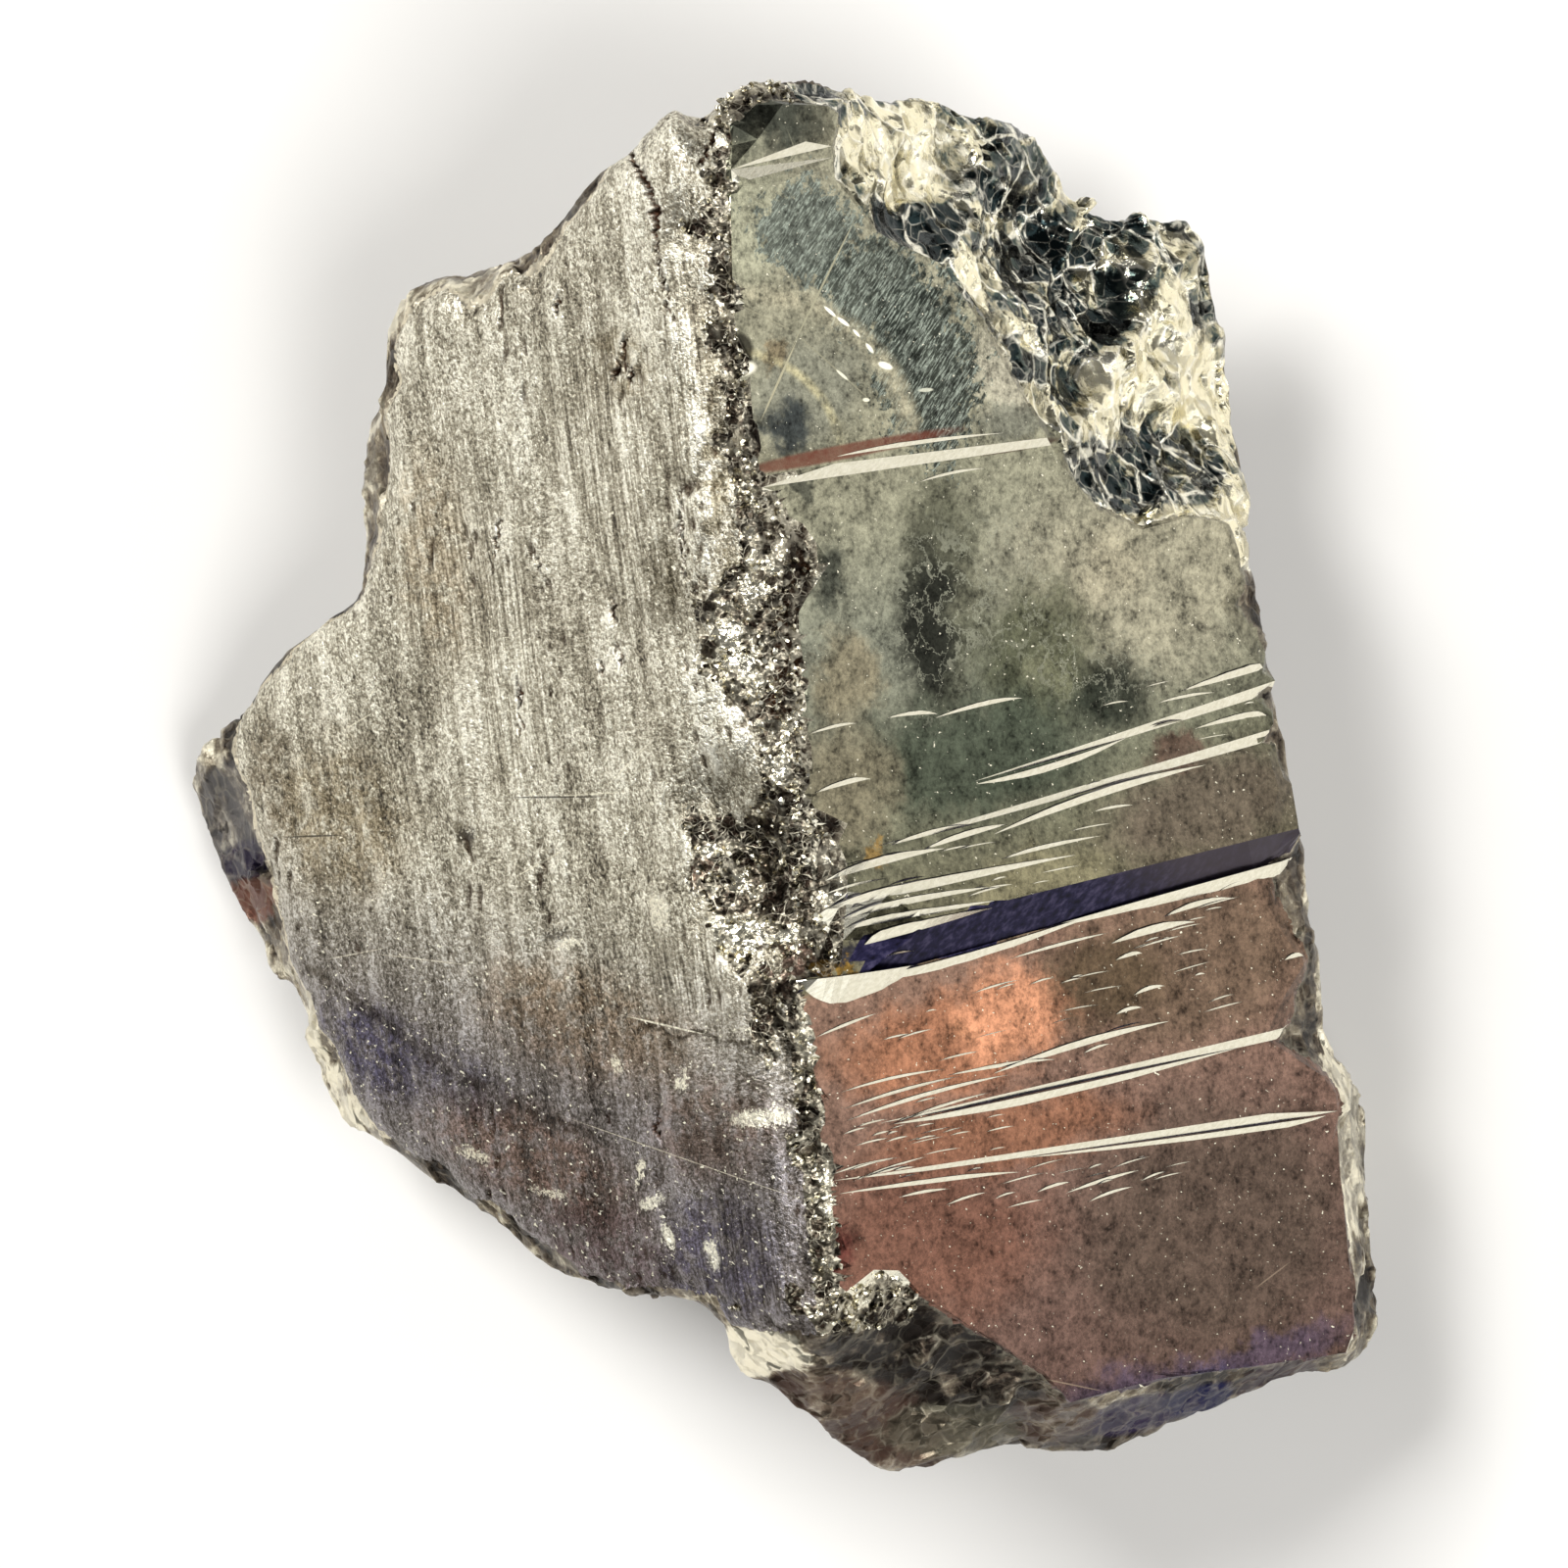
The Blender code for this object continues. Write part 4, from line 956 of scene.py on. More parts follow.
def tarnished_pyrite():
    """The right cube face: mirror-smooth as it grew, under thin films of tarnish that run from
    olive grey to copper, which keep a soft gloss. A green spot, a warm glow and two rings on it
    are painted reflections."""
    material, tree, shader = metal("tarnished_pyrite")
    place = millimetres(tree)
    wander = add(
        tree, "TexNoise", {"Vector": place, "Scale": 0.5, "Detail": 5.0, "Roughness": 0.72}
    ).outputs["Color"]
    push = add(tree, "VectorMath", (wander, (0.5, 0.5, 0.5)), operation="SUBTRACT")
    moved = add(tree, "VectorMath", (push, (3.4, 3.4, 0.0), place), operation="MULTIPLY_ADD")
    strayed = flattened(tree, moved)
    flat = flattened(tree, place)
    x, y, _ = add(tree, "SeparateXYZ", (place,)).outputs
    level = add(tree, "Math", (x, -0.266, y), operation="MULTIPLY_ADD")
    level = add(tree, "MapRange", (level, -28.0, 28.0, 0.0, 1.0))
    colour = add(tree, "ValToRGB", (level,), stops=TARNISH_STOPS)
    for centre, half, turned, tint, strength in TARNISH_AND_REFLECTIONS:
        share = patch(tree, strayed, centre, half, turned, strength=strength)
        colour = tinted(tree, share, colour, tint)
    cloud = pattern(tree, place, (1.3, 1.3, 1.3), 5.0, 0.68)
    mottle = pattern(tree, place, (0.4, 0.4, 0.4), 4.0, 0.7)
    hatch = pattern(tree, place, (0.7, 0.075, 0.4), 3.0, 0.65, -1.0, 0.8)
    glints = add(tree, "MapRange", (hatch, 0.46, 0.62), interpolation_type="SMOOTHSTEP")
    fray = pattern(tree, place, (0.45, 0.45, 0.45), 3.0, 0.75)
    fray = add(tree, "MapRange", (fray, 0.3, 0.7, -0.4, 0.4))
    for centre, half, turned, tint, strength in DENDRITES:
        share = patch(tree, strayed, centre, half, turned, 0.12, fray, strength)
        colour = tinted(tree, share, colour, tint)
        share = add(tree, "Math", (share, glints), operation="MULTIPLY")
        colour = tinted(tree, share, colour, "7A8075")
    # The painted ring reflections end at the ledge below them.
    above = add(tree, "Math", (x, -0.173, y), operation="MULTIPLY_ADD")
    above = add(tree, "MapRange", (above, 13.6, 14.2), interpolation_type="SMOOTHSTEP")
    for centre, radius, half, tint, strength in RING_REFLECTIONS:
        inputs = (flat, (*centre, 0.0))
        away = add(tree, "VectorMath", inputs, operation="DISTANCE").outputs["Value"]
        away = add(tree, "Math", (away, radius), operation="SUBTRACT")
        away = add(tree, "Math", (away,), operation="ABSOLUTE")
        share = add(tree, "MapRange", (away, half, 0.0), interpolation_type="SMOOTHSTEP")
        share = add(tree, "Math", (share, above), operation="MULTIPLY")
        inputs = (cloud, 0.3, 0.6, 0.0, strength)
        broken = add(tree, "MapRange", inputs, interpolation_type="SMOOTHSTEP")
        share = add(tree, "Math", (share, broken), operation="MULTIPLY")
        colour = tinted(tree, share, colour, tint)
    speckle = pattern(tree, place, (0.16, 0.16, 0.16), 2.0, 0.7)
    shade = add(tree, "Math", (cloud, 0.8, mottle), operation="MULTIPLY_ADD")
    shade = add(tree, "Math", (speckle, 0.5, shade), operation="MULTIPLY_ADD")
    inputs = {0: 1.0, 6: colour, 7: add(tree, "MapRange", (shade, 0.88, 1.42, 0.25, 2.05))}
    colour = add(tree, "Mix", inputs, data_type="RGBA", blend_type="MULTIPLY").outputs[2]
    border = cells(tree, strayed, (0.9, 1.3, 1.0))[1]
    vein = add(
        tree, "MapRange", (border, 0.04, 0.01, 0.0, 0.5), interpolation_type="SMOOTHSTEP"
    )
    for centre, half in VEINED:
        share = add(tree, "Math", (patch(tree, flat, centre, half), vein), operation="MULTIPLY")
        colour = tinted(tree, share, colour, "8E8E7C")
    specks = pattern(tree, place, (0.22, 0.16, 0.2), 2.0, 0.5, 0.3)
    specks = add(tree, "MapRange", (specks, 0.71, 0.75), interpolation_type="SMOOTHSTEP")
    colour = tinted(tree, specks, colour, "D8D2BC")
    for centre, half, turned, tint, strength in STREAKS:
        share = patch(tree, flat, centre, half, turned, 0.25, strength=strength)
        colour = tinted(tree, share, colour, tint)
    rough = add(tree, "MapRange", (mottle, 0.3, 0.7, 0.2, 0.32), interpolation_type="SMOOTHSTEP")
    finish(tree, shader, colour, rough, mottle, 0.01 * MM, 0.4)
    return material


def broken_pyrite(name, stops, gloss, crest, shares, size, spots, tints=()):
    """A break: each small face is cleaner or darker than the next, the crests between them and the
    chipped edges turn pale, corners that stand out are lighter and the hollows darker. The pale
    crests are a painted highlight, the lighter and darker relief painted light and shade, and the
    chips wear. gloss is the roughness of dark and of bright places, crest the colour painted on
    the crests as a highlight and on chipped edges, and how much shows on the crests, shares how
    much fine grit, broad clouds and the difference between faces show, and size the width of the
    small faces. spots gives places that are brighter or darker: centre, half width and half
    length, turn, and how much. tints gives films of colour in the same order, with colour and
    strength."""
    material, tree, shader = metal(name)
    place = millimetres(tree)
    # Painted light and shade: corners that stand out turn lighter, sunk ones darker.
    lift = add(tree, "MapRange", (corner_value(tree, "relief"), -0.12, 0.12, -0.22, 0.22))
    grit = pattern(tree, place, (0.26, 0.26, 0.26), 3.0, 0.75)
    broad = pattern(tree, place, (2.2, 3.2, 2.2), 4.0, 0.6)
    wavy = pattern(tree, place, (1.2, 1.2, 1.2), 3.0, 0.6)
    push = add(tree, "CombineXYZ", (add(tree, "MapRange", (wavy, 0.3, 0.7, -0.6, 0.6)),))
    strayed = flattened(tree, add(tree, "VectorMath", (place, push), operation="ADD"))
    tone = add(tree, "Math", (corner_value(tree, "tone"), 0.5, lift), operation="MULTIPLY_ADD")
    for noise_of, share in ((grit, shares[0]), (broad, shares[1])):
        centred = add(tree, "Math", (noise_of, 0.5), operation="SUBTRACT")
        tone = add(tree, "Math", (centred, share, tone), operation="MULTIPLY_ADD")
    swirl = add(
        tree, "TexNoise", {"Vector": place, "Scale": 0.7 / size, "Detail": 2.0, "Roughness": 0.6}
    ).outputs["Color"]
    swirl = add(tree, "VectorMath", (swirl, (0.5,) * 3), operation="SUBTRACT")
    bent = add(tree, "VectorMath", (swirl, (1.1 * size,) * 3, place), operation="MULTIPLY_ADD")
    # The cells' rims give painted highlight lines.
    wire_highlights = 0.0
    height = add(tree, "Math", (grit, 0.03), operation="MULTIPLY")
    for share, weight in ((1.0, 1.0), (0.4, 0.3)):
        width = size * share
        chance, rim, tilt = cells(tree, bent, (width, 0.75 * width, 0.9 * width))
        centred = add(tree, "Math", (chance, 0.5), operation="SUBTRACT")
        tone = add(tree, "Math", (centred, weight * shares[2], tone), operation="MULTIPLY_ADD")
        near = add(
            tree, "MapRange", (rim, 0.06, 0.015, 0.0, weight), interpolation_type="SMOOTHSTEP"
        )
        wire_highlights = add(tree, "Math", (wire_highlights, near), operation="MAXIMUM")
        height = add(tree, "Math", (tilt, 0.5, height), operation="MULTIPLY_ADD")
    # Painted shade: the hollows turn darker.
    tone = add(tree, "Math", (corner_value(tree, "hollow"), -0.15, tone), operation="MULTIPLY_ADD")
    tone = add(tree, "Math", (tone, 0.25), operation="ADD")
    for centre, half, turned, more in spots:
        share = patch(tree, strayed, centre, half, turned, 0.2, strength=more)
        tone = add(tree, "Math", (tone, share), operation="ADD")
    colour = add(tree, "ValToRGB", (tone,), stops=stops)
    for centre, half, turned, tint, strength in tints:
        share = patch(tree, strayed, centre, half, turned, 0.2, strength=strength)
        colour = tinted(tree, share, colour, tint)
    # Painted highlight on the crests between the small faces and on the cells' rims; the chipped edges
    # take the same colour as wear.
    border = corner_value(tree, "border")
    crest_highlights = add(tree, "MapRange", (border, 0.13, 0.02), interpolation_type="SMOOTHSTEP")
    inputs = (broad, 0.4, 0.6, 0.0, crest[1])
    clean = add(tree, "MapRange", inputs, interpolation_type="SMOOTHSTEP")
    crest_highlights = add(tree, "Math", (crest_highlights, clean), operation="MULTIPLY")
    edge = add(tree, "MapRange", (border, 0.1, -0.2), interpolation_type="SMOOTHSTEP")
    chips = add(tree, "MapRange", (grit, 0.35, 0.5, 0.2), interpolation_type="SMOOTHSTEP")
    chipped = add(tree, "Math", (edge, chips), operation="MULTIPLY")
    inputs = (wavy, 0.36, 0.56, 0.0, crest[1])
    clean = add(tree, "MapRange", inputs, interpolation_type="SMOOTHSTEP")
    wire_highlights = add(tree, "Math", (wire_highlights, clean), operation="MULTIPLY")
    share = add(tree, "Math", (crest_highlights, chipped), operation="MAXIMUM")
    share = add(tree, "Math", (share, wire_highlights), operation="MAXIMUM")
    colour = tinted(tree, share, colour, crest[0])
    rough = add(tree, "MapRange", (tone, 0.3, 0.9, *gloss), interpolation_type="SMOOTHSTEP")
    finish(tree, shader, colour, rough, height)
    return material


def ledge_pyrite(clean):
    """Growth ledges: clean, fine-stepped pyrite that catches the light as pale lines."""
    material, tree, shader = metal("ledge_pyrite")
    place = millimetres(tree)
    grit = pattern(tree, place, (0.8, 0.15, 0.15), 3.0, 0.7, -0.25)
    share = add(tree, "MapRange", (grit, 0.3, 0.7), interpolation_type="SMOOTHSTEP")
    inputs = {0: share, 6: (*hex_colour("DDD8C2"), 1.0), 7: (*clean, 1.0)}
    colour = add(tree, "Mix", inputs, data_type="RGBA").outputs[2]
    finish(tree, shader, colour, 0.2, grit, 0.01 * MM, 0.5)
    return material


def violet_film_and_shadow():
    """The riser of the tall ledge, under a thicker film that turns it blue violet. The ledges'
    rear faces wear it too, as a painted shadow line above each pale riser.
    """
    material, tree, shader = metal("violet_film_and_shadow")
    place = millimetres(tree)
    streak = pattern(tree, place, (2.5, 0.3, 0.3), 4.0, 0.6, -0.26)
    colour = add(
        tree, "ValToRGB", (streak,), stops=[(0.3, "14131D"), (0.5, "25233B"), (0.7, "48435C")]
    )
    # Towards the lump's side the film is worn to a dull brown.
    worn = patch(tree, flattened(tree, place), (20.5, -1.2), (6.5, 4.0))
    worn = add(tree, "Math", (worn, 0.75), operation="MULTIPLY")
    colour = tinted(tree, worn, colour, "4B4448")
    finish(tree, shader, colour, 0.3)
    return material


def grain_pyrite():
    """Small broken crystals: some clean and bright, some dull with tarnish."""
    material, tree, shader = metal("grain_pyrite")
    place = millimetres(tree)
    chance = pattern(tree, place, (0.45, 0.45, 0.45), 1.0, 0.5)
    colour = add(
        tree, "ValToRGB", (chance,), stops=[(0.36, "3A332A"), (0.46, "A39B85"), (0.55, "F2EDDA")]
    )
    finish(tree, shader, colour, 0.25)
    return material


# ---------------------------------------------------------------- pieces


class PYRITE_OT_lump(bpy.types.Operator):
    """Makes the lump from the solid: its growth lines, scoops, worn ridge and rough breaks"""

    bl_idname = "pyrite.lump"
    bl_label = "Lump"

    def execute(self, context):
        noise.seed_set(NOISE_SEED)
        settings = context.scene.pyrite_lump
        node = frame["nodes"]["pyrite_cluster"]
        select_only(node)
        bpy.ops.object.duplicate()
        lump = context.view_layer.objects.active
        lump.name = "pyrite_lump"
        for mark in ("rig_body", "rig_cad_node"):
            del lump[mark]
        lump.data.materials.clear()
        bpy.ops.object.mode_set(mode="EDIT")
        bpy.ops.mesh.select_all(action="SELECT")
        bpy.ops.mesh.remove_doubles(threshold=0.002 * MM)
        bpy.ops.mesh.select_mode(type="EDGE")
        bpy.ops.object.mode_set(mode="OBJECT")
        refine(lump, 3.0, 4)
        soften(lump, (STRIATED_FACE, RIDGE, FRESH_BREAK, OLD_BREAK, SIDE, UNDERSIDE), 4)
        refine(lump, 1.0, 9)
        kinds = surface_kinds(corners(lump.data), corner_normals(lump.data))
        weights = {kind: even_out(kinds == kind, edge_ends(lump.data), 2) for kind in KINDS}
        self.sort_faces(lump, kinds, settings)
        self.shape(lump, kinds, weights, settings)
        lump.vertex_groups.clear()
        bpy.ops.object.shade_smooth_by_angle(angle=math.radians(30.0))
        self.crisp_edges(lump)
        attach(lump, "root")
        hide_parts("pyrite_cluster")
        return {"FINISHED"}

    def sort_faces(self, lump, kinds, settings):
        """Gives each face the material of the kind of surface that it lies on."""
        mesh = lump.data
        materials = [
            tarnished_pyrite(),
            striated_pyrite(settings),
            broken_pyrite(
                "crusted_pyrite",
                [(0.28, "1F1813"), (0.46, "5A5145"), (0.62, "9C9582"), (0.84, "F2ECD6")],
                (0.4, 0.25), ("E8E0C8", 0.5), (0.7, 0.6, 0.3), 0.6, CRUST_TONES, CRUST_TINTS,
            ),
            broken_pyrite(
                "fresh_broken_pyrite",
                [(0.18, "1E2829"), (0.34, "4A544E"), (0.46, "ADA68A"), (0.66, "F8F0D0")],
                (0.1, 0.28), ("FFFBE9", 0.9), (0.28, 0.38, 0.5), 2.5, BREAK_TONES,
            ),
            broken_pyrite(
                "weathered_pyrite",
                [(0.24, "241F1B"), (0.46, "564C41"), (0.68, "8A806D"), (0.95, "EAE3CC")],
                (0.45, 0.28), ("D6CDB6", 0.15), (0.65, 0.22, 0.2), 1.7, RIM_TONES, RIM_TINTS,
            ),
            violet_film_and_shadow(),
            ledge_pyrite(bpy.context.scene.pyrite_ledges.colour),
        ]
        for material in materials:
            mesh.materials.append(material)
        loops = np.empty(len(mesh.loops), dtype=np.int32)
        mesh.loops.foreach_get("vertex_index", loops)
        faces = kinds[loops.reshape(-1, 3)]
        # A face on a border goes to the smoothest of its three surfaces.
        chosen = np.array(KIND_MATERIALS)[faces.min(axis=1)]
        x, y, _ = corners(mesh)[loops.reshape(-1, 3)].mean(axis=1).T
        looks = np.array([face.normal for face in mesh.polygons])
        smooth = chosen == TARNISHED
        along = looks @ np.array(crystal_turn() @ Vector((0.0, 1.0, 0.0)))
        outward = looks @ np.array(cube_normal(1))
        riser = (along < -0.25) & (outward > 0.75) & smooth
        tilted = (outward < math.cos(math.radians(7.0))) & smooth
        chosen[tilted & ~riser & (y < 24.0) & (x - ridge_limit(y) < 1.6)] = CRUSTED
        above_foot = y - (TALL_LEDGE[1] + (x - TALL_LEDGE[0]) * TALL_CLIMB)
        strip = (chosen == TARNISHED) & (x > TALL_STRIP[0]) & (x < TALL_STRIP[1])
        strip &= above_foot < STRIP_HEIGHT
        tall = (riser & (above_foot < TALL_HEIGHT) | strip) & (above_foot > -0.1)
        chosen[riser] = CLEAN
        chosen[tall] = VIOLET
        mesh.polygons.foreach_set("material_index", chosen.astype(np.int32))
        mesh.update()

    def shape(self, lump, kinds, weights, settings):
        """Raises the relief of each kind of surface."""
        striated = weigh(lump, "striated", weights[STRIATED_FACE])
        for wide, deep, stretch in STRIAE:
            raise_relief(
                lump, "CLOUDS", settings.stria_width * wide, settings.stria_depth * deep,
                striated, 0.5, stretch, noise_scale=1.0, noise_depth=2,
            )
        mesh = lump.data
        ends = edge_ends(mesh)
        places = corners(mesh)
        outward = even_out(corner_normals(mesh), ends, 5)
        outward /= np.linalg.norm(outward, axis=1)[:, None]
        lift = np.zeros(len(places))
        tone = np.full(len(places), 0.5)
        border = np.full(len(places), 1.0)
        for kind, levels in FACETS.items():
            picked = np.flatnonzero(weights[kind] > 0.02)
            weight = weights[kind][picked]
            for number, (size, tilt, bowl, step, stretch) in enumerate(levels):
                up, own_tone, own_border = facets(
                    places[picked], size, tilt, bowl, step, 5.0 + number, stretch
                )
                lift[picked] += up * weight
                tone[picked] += (own_tone - 0.5) * LEVEL_FADES[number]
                border[picked] = np.minimum(border[picked], own_border + 0.05 * number)
        crack = crack_distance(places)
        lift -= CRACK_DEPTH * np.clip(1.0 - crack**2, 0.0, 1.0)
        pits = np.zeros(len(places))
        for index in np.flatnonzero(weights[STRIATED_FACE] > 0.5):
            x, y, z = places[index]
            deep = noise.noise(Vector((x / PIT_SIZE[0], y / PIT_SIZE[1], z / PIT_SIZE[2])))
            where = noise.noise(Vector((x / PITTED_SIZE[0], y / PITTED_SIZE[1], 7.0)))
            pits[index] = min(max((deep + 0.7 * where - PIT_START) / PIT_RANGE, 0.0), 1.0)
        lift -= PIT_DEPTH * pits
        lip = (kinds != SMOOTH_FACE) & (weights[SMOOTH_FACE] > 0.02)
        border[lip] = 0.0
        rim = (kinds == OLD_BREAK) & (weights[STRIATED_FACE] > 0.02) & (places[:, 1] > -15.0)
        border[rim] = -1.0
        moved = places + lift[:, None] * outward
        moved[:, 2] = np.maximum(moved[:, 2], 0.0)
        mesh.vertices.foreach_set("co", (moved * MM).ravel())
        mesh.update()
        store(mesh, "tone", np.clip(tone, 0.0, 1.0))
        store(mesh, "border", border)
        store(mesh, "crack", np.maximum(np.clip(1.6 - crack, 0.0, 1.0), 0.6 * pits))
        # hollow and relief let the materials paint shade into hollows and light onto what stands out.
        store(mesh, "hollow", np.clip(-relief_of(mesh, 60) / 0.3, 0.0, 1.0))
        store(mesh, "crust", weights[RIDGE])
        store(mesh, "relief", relief_of(mesh, 6))

    def crisp_edges(self, lump):
        """Keeps the borders of the smooth face and its ledges crisp."""
        mesh = lump.data
        slots = np.empty(len(mesh.polygons), dtype=np.int32)
        mesh.polygons.foreach_get("material_index", slots)
        sides = {}
        for face in mesh.polygons:
            for key in face.edge_keys:
                sides.setdefault(key, []).append(face.index)
        smooth = (TARNISHED, VIOLET, CLEAN)
        crisp = {
            key for key, pair in sides.items()
            if len(pair) == 2
            and (slots[pair[0]] in smooth or slots[pair[1]] in smooth)
            and (
                slots[pair[0]] != slots[pair[1]]
                or mesh.polygons[pair[0]].normal.dot(mesh.polygons[pair[1]].normal) < FLAT_COSINE
            )
        }
        picked = [tuple(sorted(edge.vertices)) in crisp for edge in mesh.edges]
        mesh.vertices.foreach_set("select", [False] * len(mesh.vertices))
        mesh.polygons.foreach_set("select", [False] * len(mesh.polygons))
        mesh.edges.foreach_set("select", picked)
        bpy.ops.object.mode_set(mode="EDIT")
        bpy.ops.mesh.mark_sharp()
        bpy.ops.object.mode_set(mode="OBJECT")


def ledge_rows():
    """Every growth ledge: x, y of both ends, its widest width, and where it is widest."""
    chance = random.Random(FIELD_SEED)
    rows = list(LEDGE_LINES)
    for (x0, y0), (x1, y1), count in LEDGE_FIELDS:
        for _ in range(count):
            x = chance.uniform(x0, x1)
            y = y0 + (y1 - y0) * chance.random() + 0.1 * (x - x0)
            length = chance.uniform(0.5, 2.2)
            rise = length * chance.uniform(0.16, 0.3)
            rows.append((x, y, x + length, y + rise, chance.uniform(0.06, 0.12), 0.5))
    return rows


class PYRITE_OT_ledges(bpy.types.Operator):
    """Models one growth ledge as a low wedge and copies it to each place where the face steps"""

    bl_idname = "pyrite.ledges"
    bl_label = "Growth Ledges"

    def execute(self, context):
        settings = context.scene.pyrite_ledges
        model = self.wedge()
        chance = random.Random(LEDGE_SEED)
        lump = bpy.data.objects["pyrite_lump"]
        ground = BVHTree.FromPolygons(
            [vertex.co for vertex in lump.data.vertices],
            [face.vertices for face in lump.data.polygons],
        )
        copies = []
        for row in ledge_rows():
            shape = self.trimmed(row, ground)
            if shape is None:
                continue
            copy = bpy.data.objects.new("ledge", model.data.copy())
            context.scene.collection.objects.link(copy)
            self.fit(copy, shape, settings, chance, ground)
            copies.append(copy)
        ledges = joined(copies, "growth_ledges")
        bpy.data.objects.remove(model)
        ledges.data.materials.append(bpy.data.materials["ledge_pyrite"])
        ledges.data.materials.append(bpy.data.materials["violet_film_and_shadow"])
        bpy.ops.object.mode_set(mode="EDIT")
        bpy.ops.mesh.select_all(action="SELECT")
        bpy.ops.mesh.normals_make_consistent(inside=False)
        bpy.ops.object.mode_set(mode="OBJECT")
        # Rear faces take the dark violet film as a painted shadow line above each pale riser; the rest
        # stay clean risers.
        across = crystal_turn() @ Vector((0.0, 1.0, 0.0))
        for face in ledges.data.polygons:
            face.material_index = 0 if face.normal.dot(across) < 0.05 else 1
        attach(ledges, "root")
        return {"FINISHED"}

    def wedge(self):
        """A bar with a four-cornered section, cut across along its length."""
        bpy.ops.object.select_all(action="DESELECT")
        bpy.ops.mesh.primitive_cube_add(size=1.0, location=(0.5, 0.0, 0.0))
        model = bpy.context.view_layer.objects.active
        model.name = "ledge_model"
        bpy.ops.object.transform_apply(location=True, rotation=False, scale=False)
        bpy.ops.object.mode_set(mode="EDIT")
        bpy.ops.mesh.select_mode(type="EDGE")
        bpy.ops.mesh.select_all(action="DESELECT")
        bpy.ops.object.mode_set(mode="OBJECT")
        for edge in model.data.edges:
            first, second = (model.data.vertices[i].co for i in edge.vertices)
            edge.select = abs(first.x - second.x) > 0.5
        bpy.ops.object.mode_set(mode="EDIT")
        bpy.ops.mesh.subdivide(number_cuts=LEDGE_PARTS - 1)
        bpy.ops.object.mode_set(mode="OBJECT")
        return model

    def height(self, spot, ground):
        """Height of the lump's surface at x, y, and how far the face lies above it."""
        start = Vector((spot.x * MM, spot.y * MM, PROBE_HEIGHT))
        hit = ground.ray_cast(start, Vector((0.0, 0.0, -1.0)))[0]
        if hit is None:
            return None, 99.0
        height = hit.z / MM
        return height, face_height(1, spot.x, spot.y) - height

    def trimmed(self, row, ground):
        """The part of a ledge that lies on the smooth face, or None."""
        x0, y0, x1, y1, widest, peak = row
        start, end = Vector((x0, y0)), Vector((x1, y1))
        gap = LEDGE_GAP if widest > 0.0 else HANGING_GAP
        shares = [number / LEDGE_PROBES for number in range(LEDGE_PROBES + 1)]
        held = [
            share for share in shares
            if self.height(start.lerp(end, share), ground)[1] < gap
        ]
        if len(held) < 4 or (held[-1] - held[0]) * (end - start).length < LEAST_LEDGE:
            return None
        return start.lerp(end, held[0]), start.lerp(end, held[-1]), widest, peak

    def fit(self, copy, shape, settings, chance, ground):
        """Bends a copy of the wedge to its line and tapers it to both ends."""
        start, end, widest, peak = shape
        line = end - start
        across = Vector((-line.y, line.x)).normalized()
        bow = chance.uniform(-0.012, 0.012) * line.length
        jags = [chance.uniform(0.96, 1.04) for _ in range(LEDGE_PARTS + 2)]
        normal = cube_normal(1)
        for vertex in copy.data.vertices:
            share = min(max(vertex.co.x, 0.0), 1.0)
            part = share / peak * 0.5 if share < peak else 0.5 + (share - peak) / (1 - peak) * 0.5
            width = abs(widest) * max(0.02, math.sin(math.pi * part)) ** 0.8
            width *= jags[round(share * LEDGE_PARTS)]
            foot = vertex.co.y < 0.0
            top = vertex.co.z > 0.0
            back = 0.0 if widest < 0.0 else settings.run
            over = 0.0 if foot else (width if top else width * (1 + back))
            if widest < 0.0:
                over -= width
            rise = 0.0 if foot or not top else width * settings.slope
            sink = -0.02 if foot and top else (-0.1 if not top else 0.0)
            spot = start + line * share + across * (bow * math.sin(math.pi * share) + over)
            height, depth = self.height(spot, ground)
            if height is None or depth > HANGING_GAP:
                height = face_height(1, spot.x, spot.y) - HANGING_GAP
            place = Vector((spot.x, spot.y, height)) + normal * (rise + sink)
            vertex.co = place * MM
        copy.data.update()


class PYRITE_OT_grains(bpy.types.Operator):
    """Models one broken grain and strews copies over the worn ridge"""

    bl_idname = "pyrite.grains"
    bl_label = "Ridge Grains"

    def execute(self, context):
        settings = context.scene.pyrite_grains
        bpy.ops.object.select_all(action="DESELECT")
        bpy.ops.mesh.primitive_ico_sphere_add(subdivisions=1, radius=0.5)
        model = context.view_layer.objects.active
        bpy.ops.object.mode_set(mode="EDIT")
        bpy.ops.transform.resize(value=(1.0, 0.7, 0.55))
        bpy.ops.mesh.bisect(
            plane_co=(0.2, 0.0, 0.1), plane_no=(0.7, 0.2, 0.6), use_fill=True, clear_outer=True
        )
        bpy.ops.object.mode_set(mode="OBJECT")
        lump = bpy.data.objects["pyrite_lump"]
        crust = np.empty(len(lump.data.vertices), dtype=np.float32)
        lump.data.attributes["crust"].data.foreach_get("value", crust)
        spots = np.flatnonzero(crust > 0.6)
        chance = random.Random(GRAIN_SEED)
        copies = []
        for _ in range(settings.count):
            vertex = lump.data.vertices[int(spots[chance.randrange(len(spots))])]
            size = settings.size * chance.uniform(0.45, 1.5)
            turn = Euler([chance.uniform(0.0, 2.0 * math.pi) for _ in range(3)]).to_matrix()
            copy = bpy.data.objects.new("grain", model.data.copy())
            copy.data.transform(
                Matrix.Translation(vertex.co + vertex.normal * 0.15 * size)
                @ turn.to_4x4() @ Matrix.Scale(size, 4)
            )
            context.scene.collection.objects.link(copy)
            copies.append(copy)
        bpy.data.objects.remove(model)
        grains = joined(copies, "ridge_grains")
        grains.data.materials.append(grain_pyrite())
        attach(grains, "root")
        return {"FINISHED"}


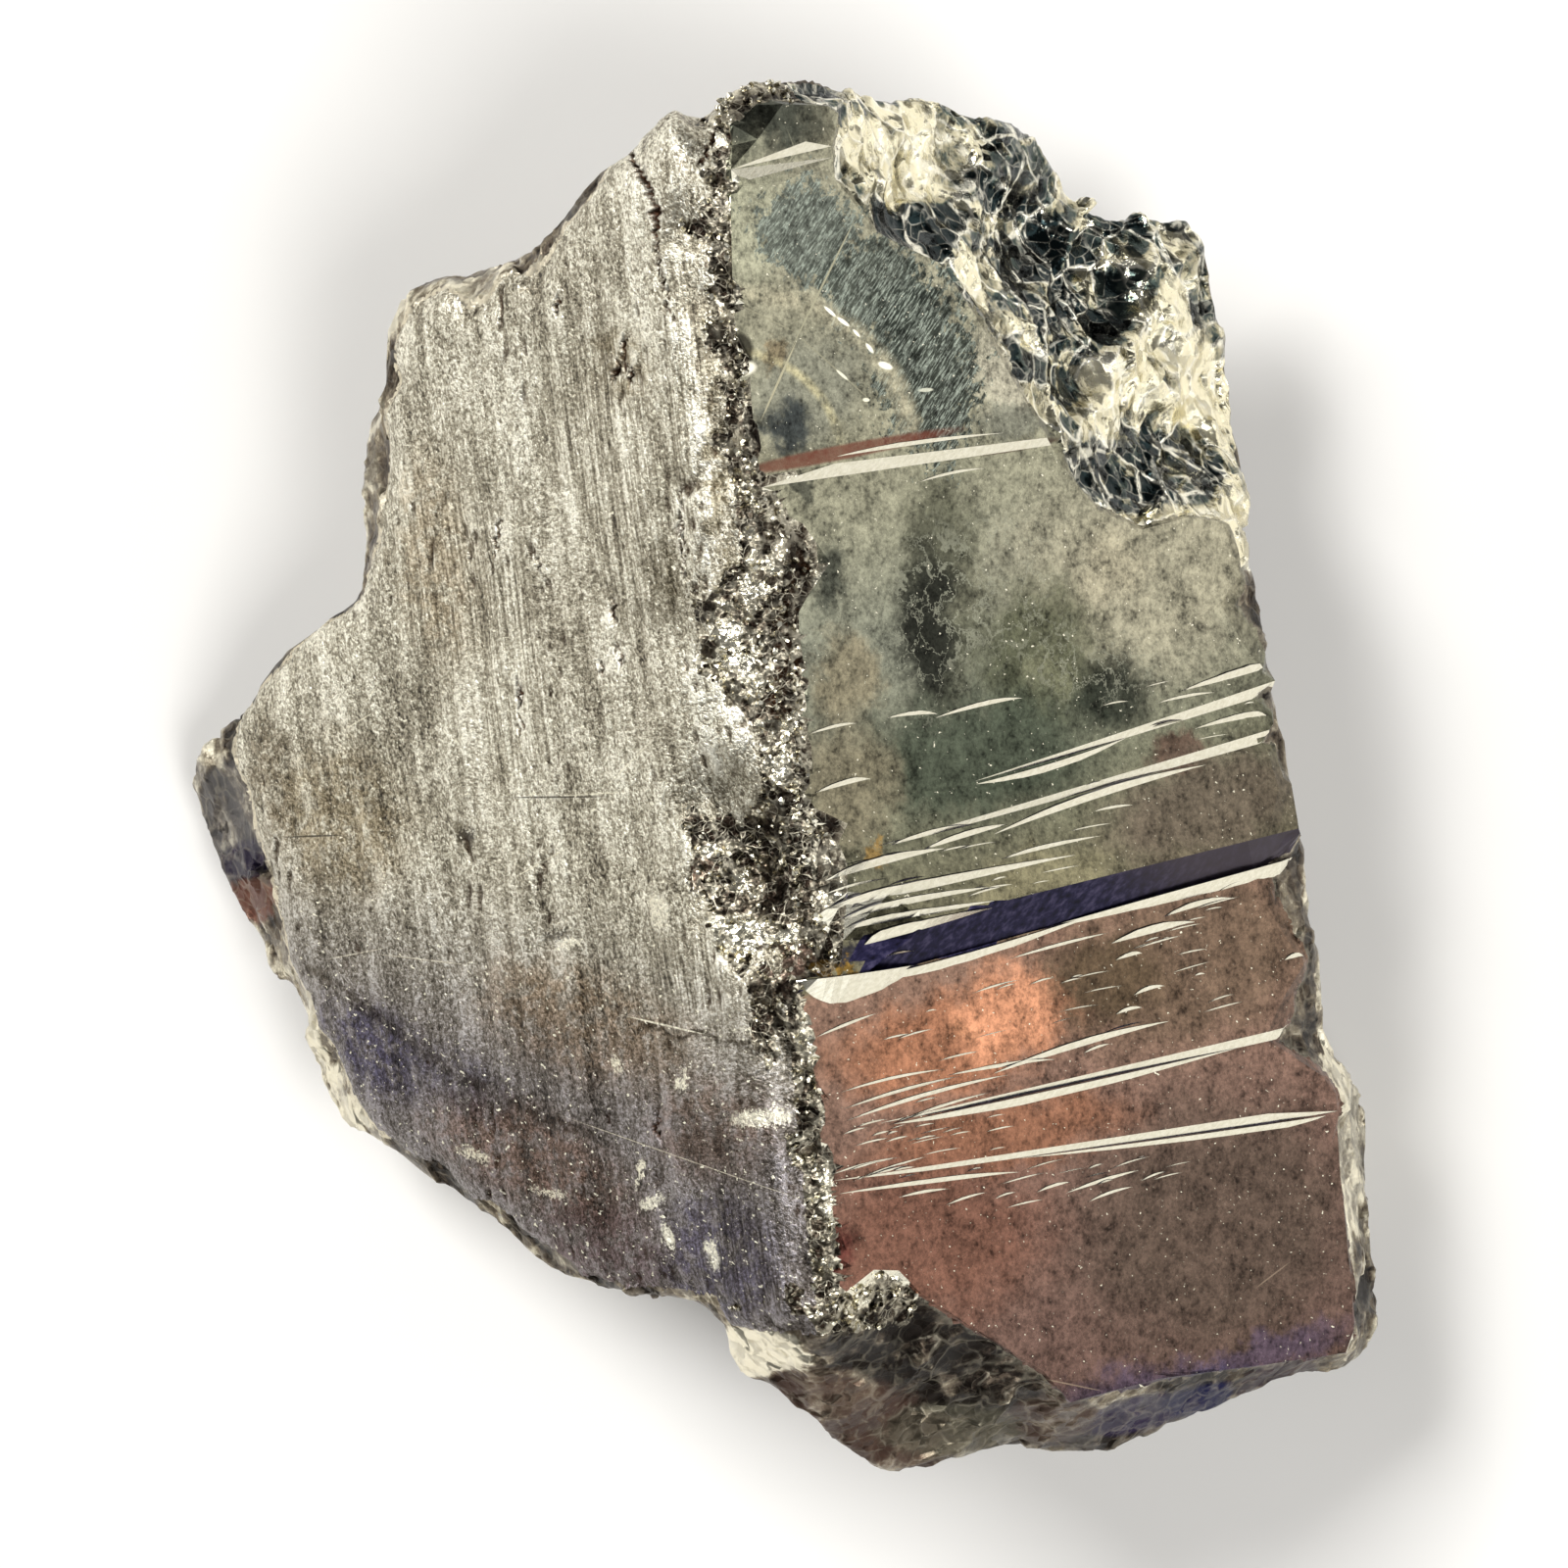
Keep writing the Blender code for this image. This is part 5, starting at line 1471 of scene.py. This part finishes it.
class PYRITE_OT_studio(bpy.types.Operator):
    """Makes the floor, the soft lights and the camera"""

    bl_idname = "pyrite.studio"
    bl_label = "Studio"

    def execute(self, context):
        settings = context.scene.pyrite_studio
        bpy.ops.object.select_all(action="DESELECT")
        bpy.ops.mesh.primitive_plane_add(size=FLOOR_SIZE, location=(0.0, 0.0, 0.0))
        floor = context.view_layer.objects.active
        floor.name = "floor"
        paper = bpy.data.materials.new("matt_paper")
        paper.use_nodes = True
        shader = paper.node_tree.nodes["Principled BSDF"]
        shader.inputs["Base Color"].default_value = (*settings.floor_colour, 1.0)
        shader.inputs["Roughness"].default_value = 0.9
        floor.data.materials.append(paper)
        for name, place, size, power in LIGHTS:
            light = bpy.data.lights.new(name, "AREA")
            light.shape = "RECTANGLE"
            light.size, light.size_y = size
            light.energy = power
            lamp = bpy.data.objects.new(name, light)
            context.scene.collection.objects.link(lamp)
            lamp.location = place
            aim = LIGHT_AIM - Vector(place)
            lamp.rotation_euler = aim.to_track_quat("-Z", "Y").to_euler()
        world = bpy.data.worlds.new("studio")
        world.use_nodes = True
        world.node_tree.nodes["Background"].inputs["Color"].default_value = (0.15, 0.15, 0.15, 1.0)
        context.scene.world = world
        context.scene.view_settings.view_transform = "Standard"
        camera = bpy.data.cameras.new("camera")
        camera.sensor_width = SENSOR_WIDTH
        camera.lens = SENSOR_WIDTH * (settings.camera_height / MM - FRAME_LEVEL) / FRAME_WIDTH
        camera.clip_start = 0.01
        eye = bpy.data.objects.new("camera", camera)
        context.scene.collection.objects.link(eye)
        eye.location = (0.0, 0.3 * MM, settings.camera_height)
        context.scene.camera = eye
        return {"FINISHED"}


class PYRITE_PT_panel(bpy.types.Panel):
    bl_idname = "PYRITE_PT_panel"
    bl_label = "Pyrite Cluster"
    bl_space_type = "VIEW_3D"
    bl_region_type = "UI"
    bl_category = "Pyrite"

    def draw(self, context):
        for operator, group in zip(OPERATORS, SETTINGS):
            settings = getattr(context.scene, group)
            box = self.layout.box()
            box.operator(operator.bl_idname)
            for name in settings.bl_rna.properties.keys():
                if name not in ("rna_type", "name"):
                    box.prop(settings, name)


SETTINGS = {
    "pyrite_lump": PyriteLumpSettings,
    "pyrite_ledges": PyriteLedgeSettings,
    "pyrite_grains": PyriteGrainSettings,
    "pyrite_studio": PyriteStudioSettings,
}
OPERATORS = (PYRITE_OT_lump, PYRITE_OT_ledges, PYRITE_OT_grains, PYRITE_OT_studio)


def register():
    for name, group in SETTINGS.items():
        bpy.utils.register_class(group)
        setattr(bpy.types.Scene, name, bpy.props.PointerProperty(type=group))
    for operator in OPERATORS:
        bpy.utils.register_class(operator)
    bpy.utils.register_class(PYRITE_PT_panel)


def unregister():
    bpy.utils.unregister_class(PYRITE_PT_panel)
    for operator in reversed(OPERATORS):
        bpy.utils.unregister_class(operator)
    for name, group in SETTINGS.items():
        delattr(bpy.types.Scene, name)
        bpy.utils.unregister_class(group)


def main():
    register()
    bpy.ops.pyrite.lump()
    bpy.ops.pyrite.ledges()
    bpy.ops.pyrite.grains()
    bpy.ops.pyrite.studio()


if __name__ == "__main__":
    main()
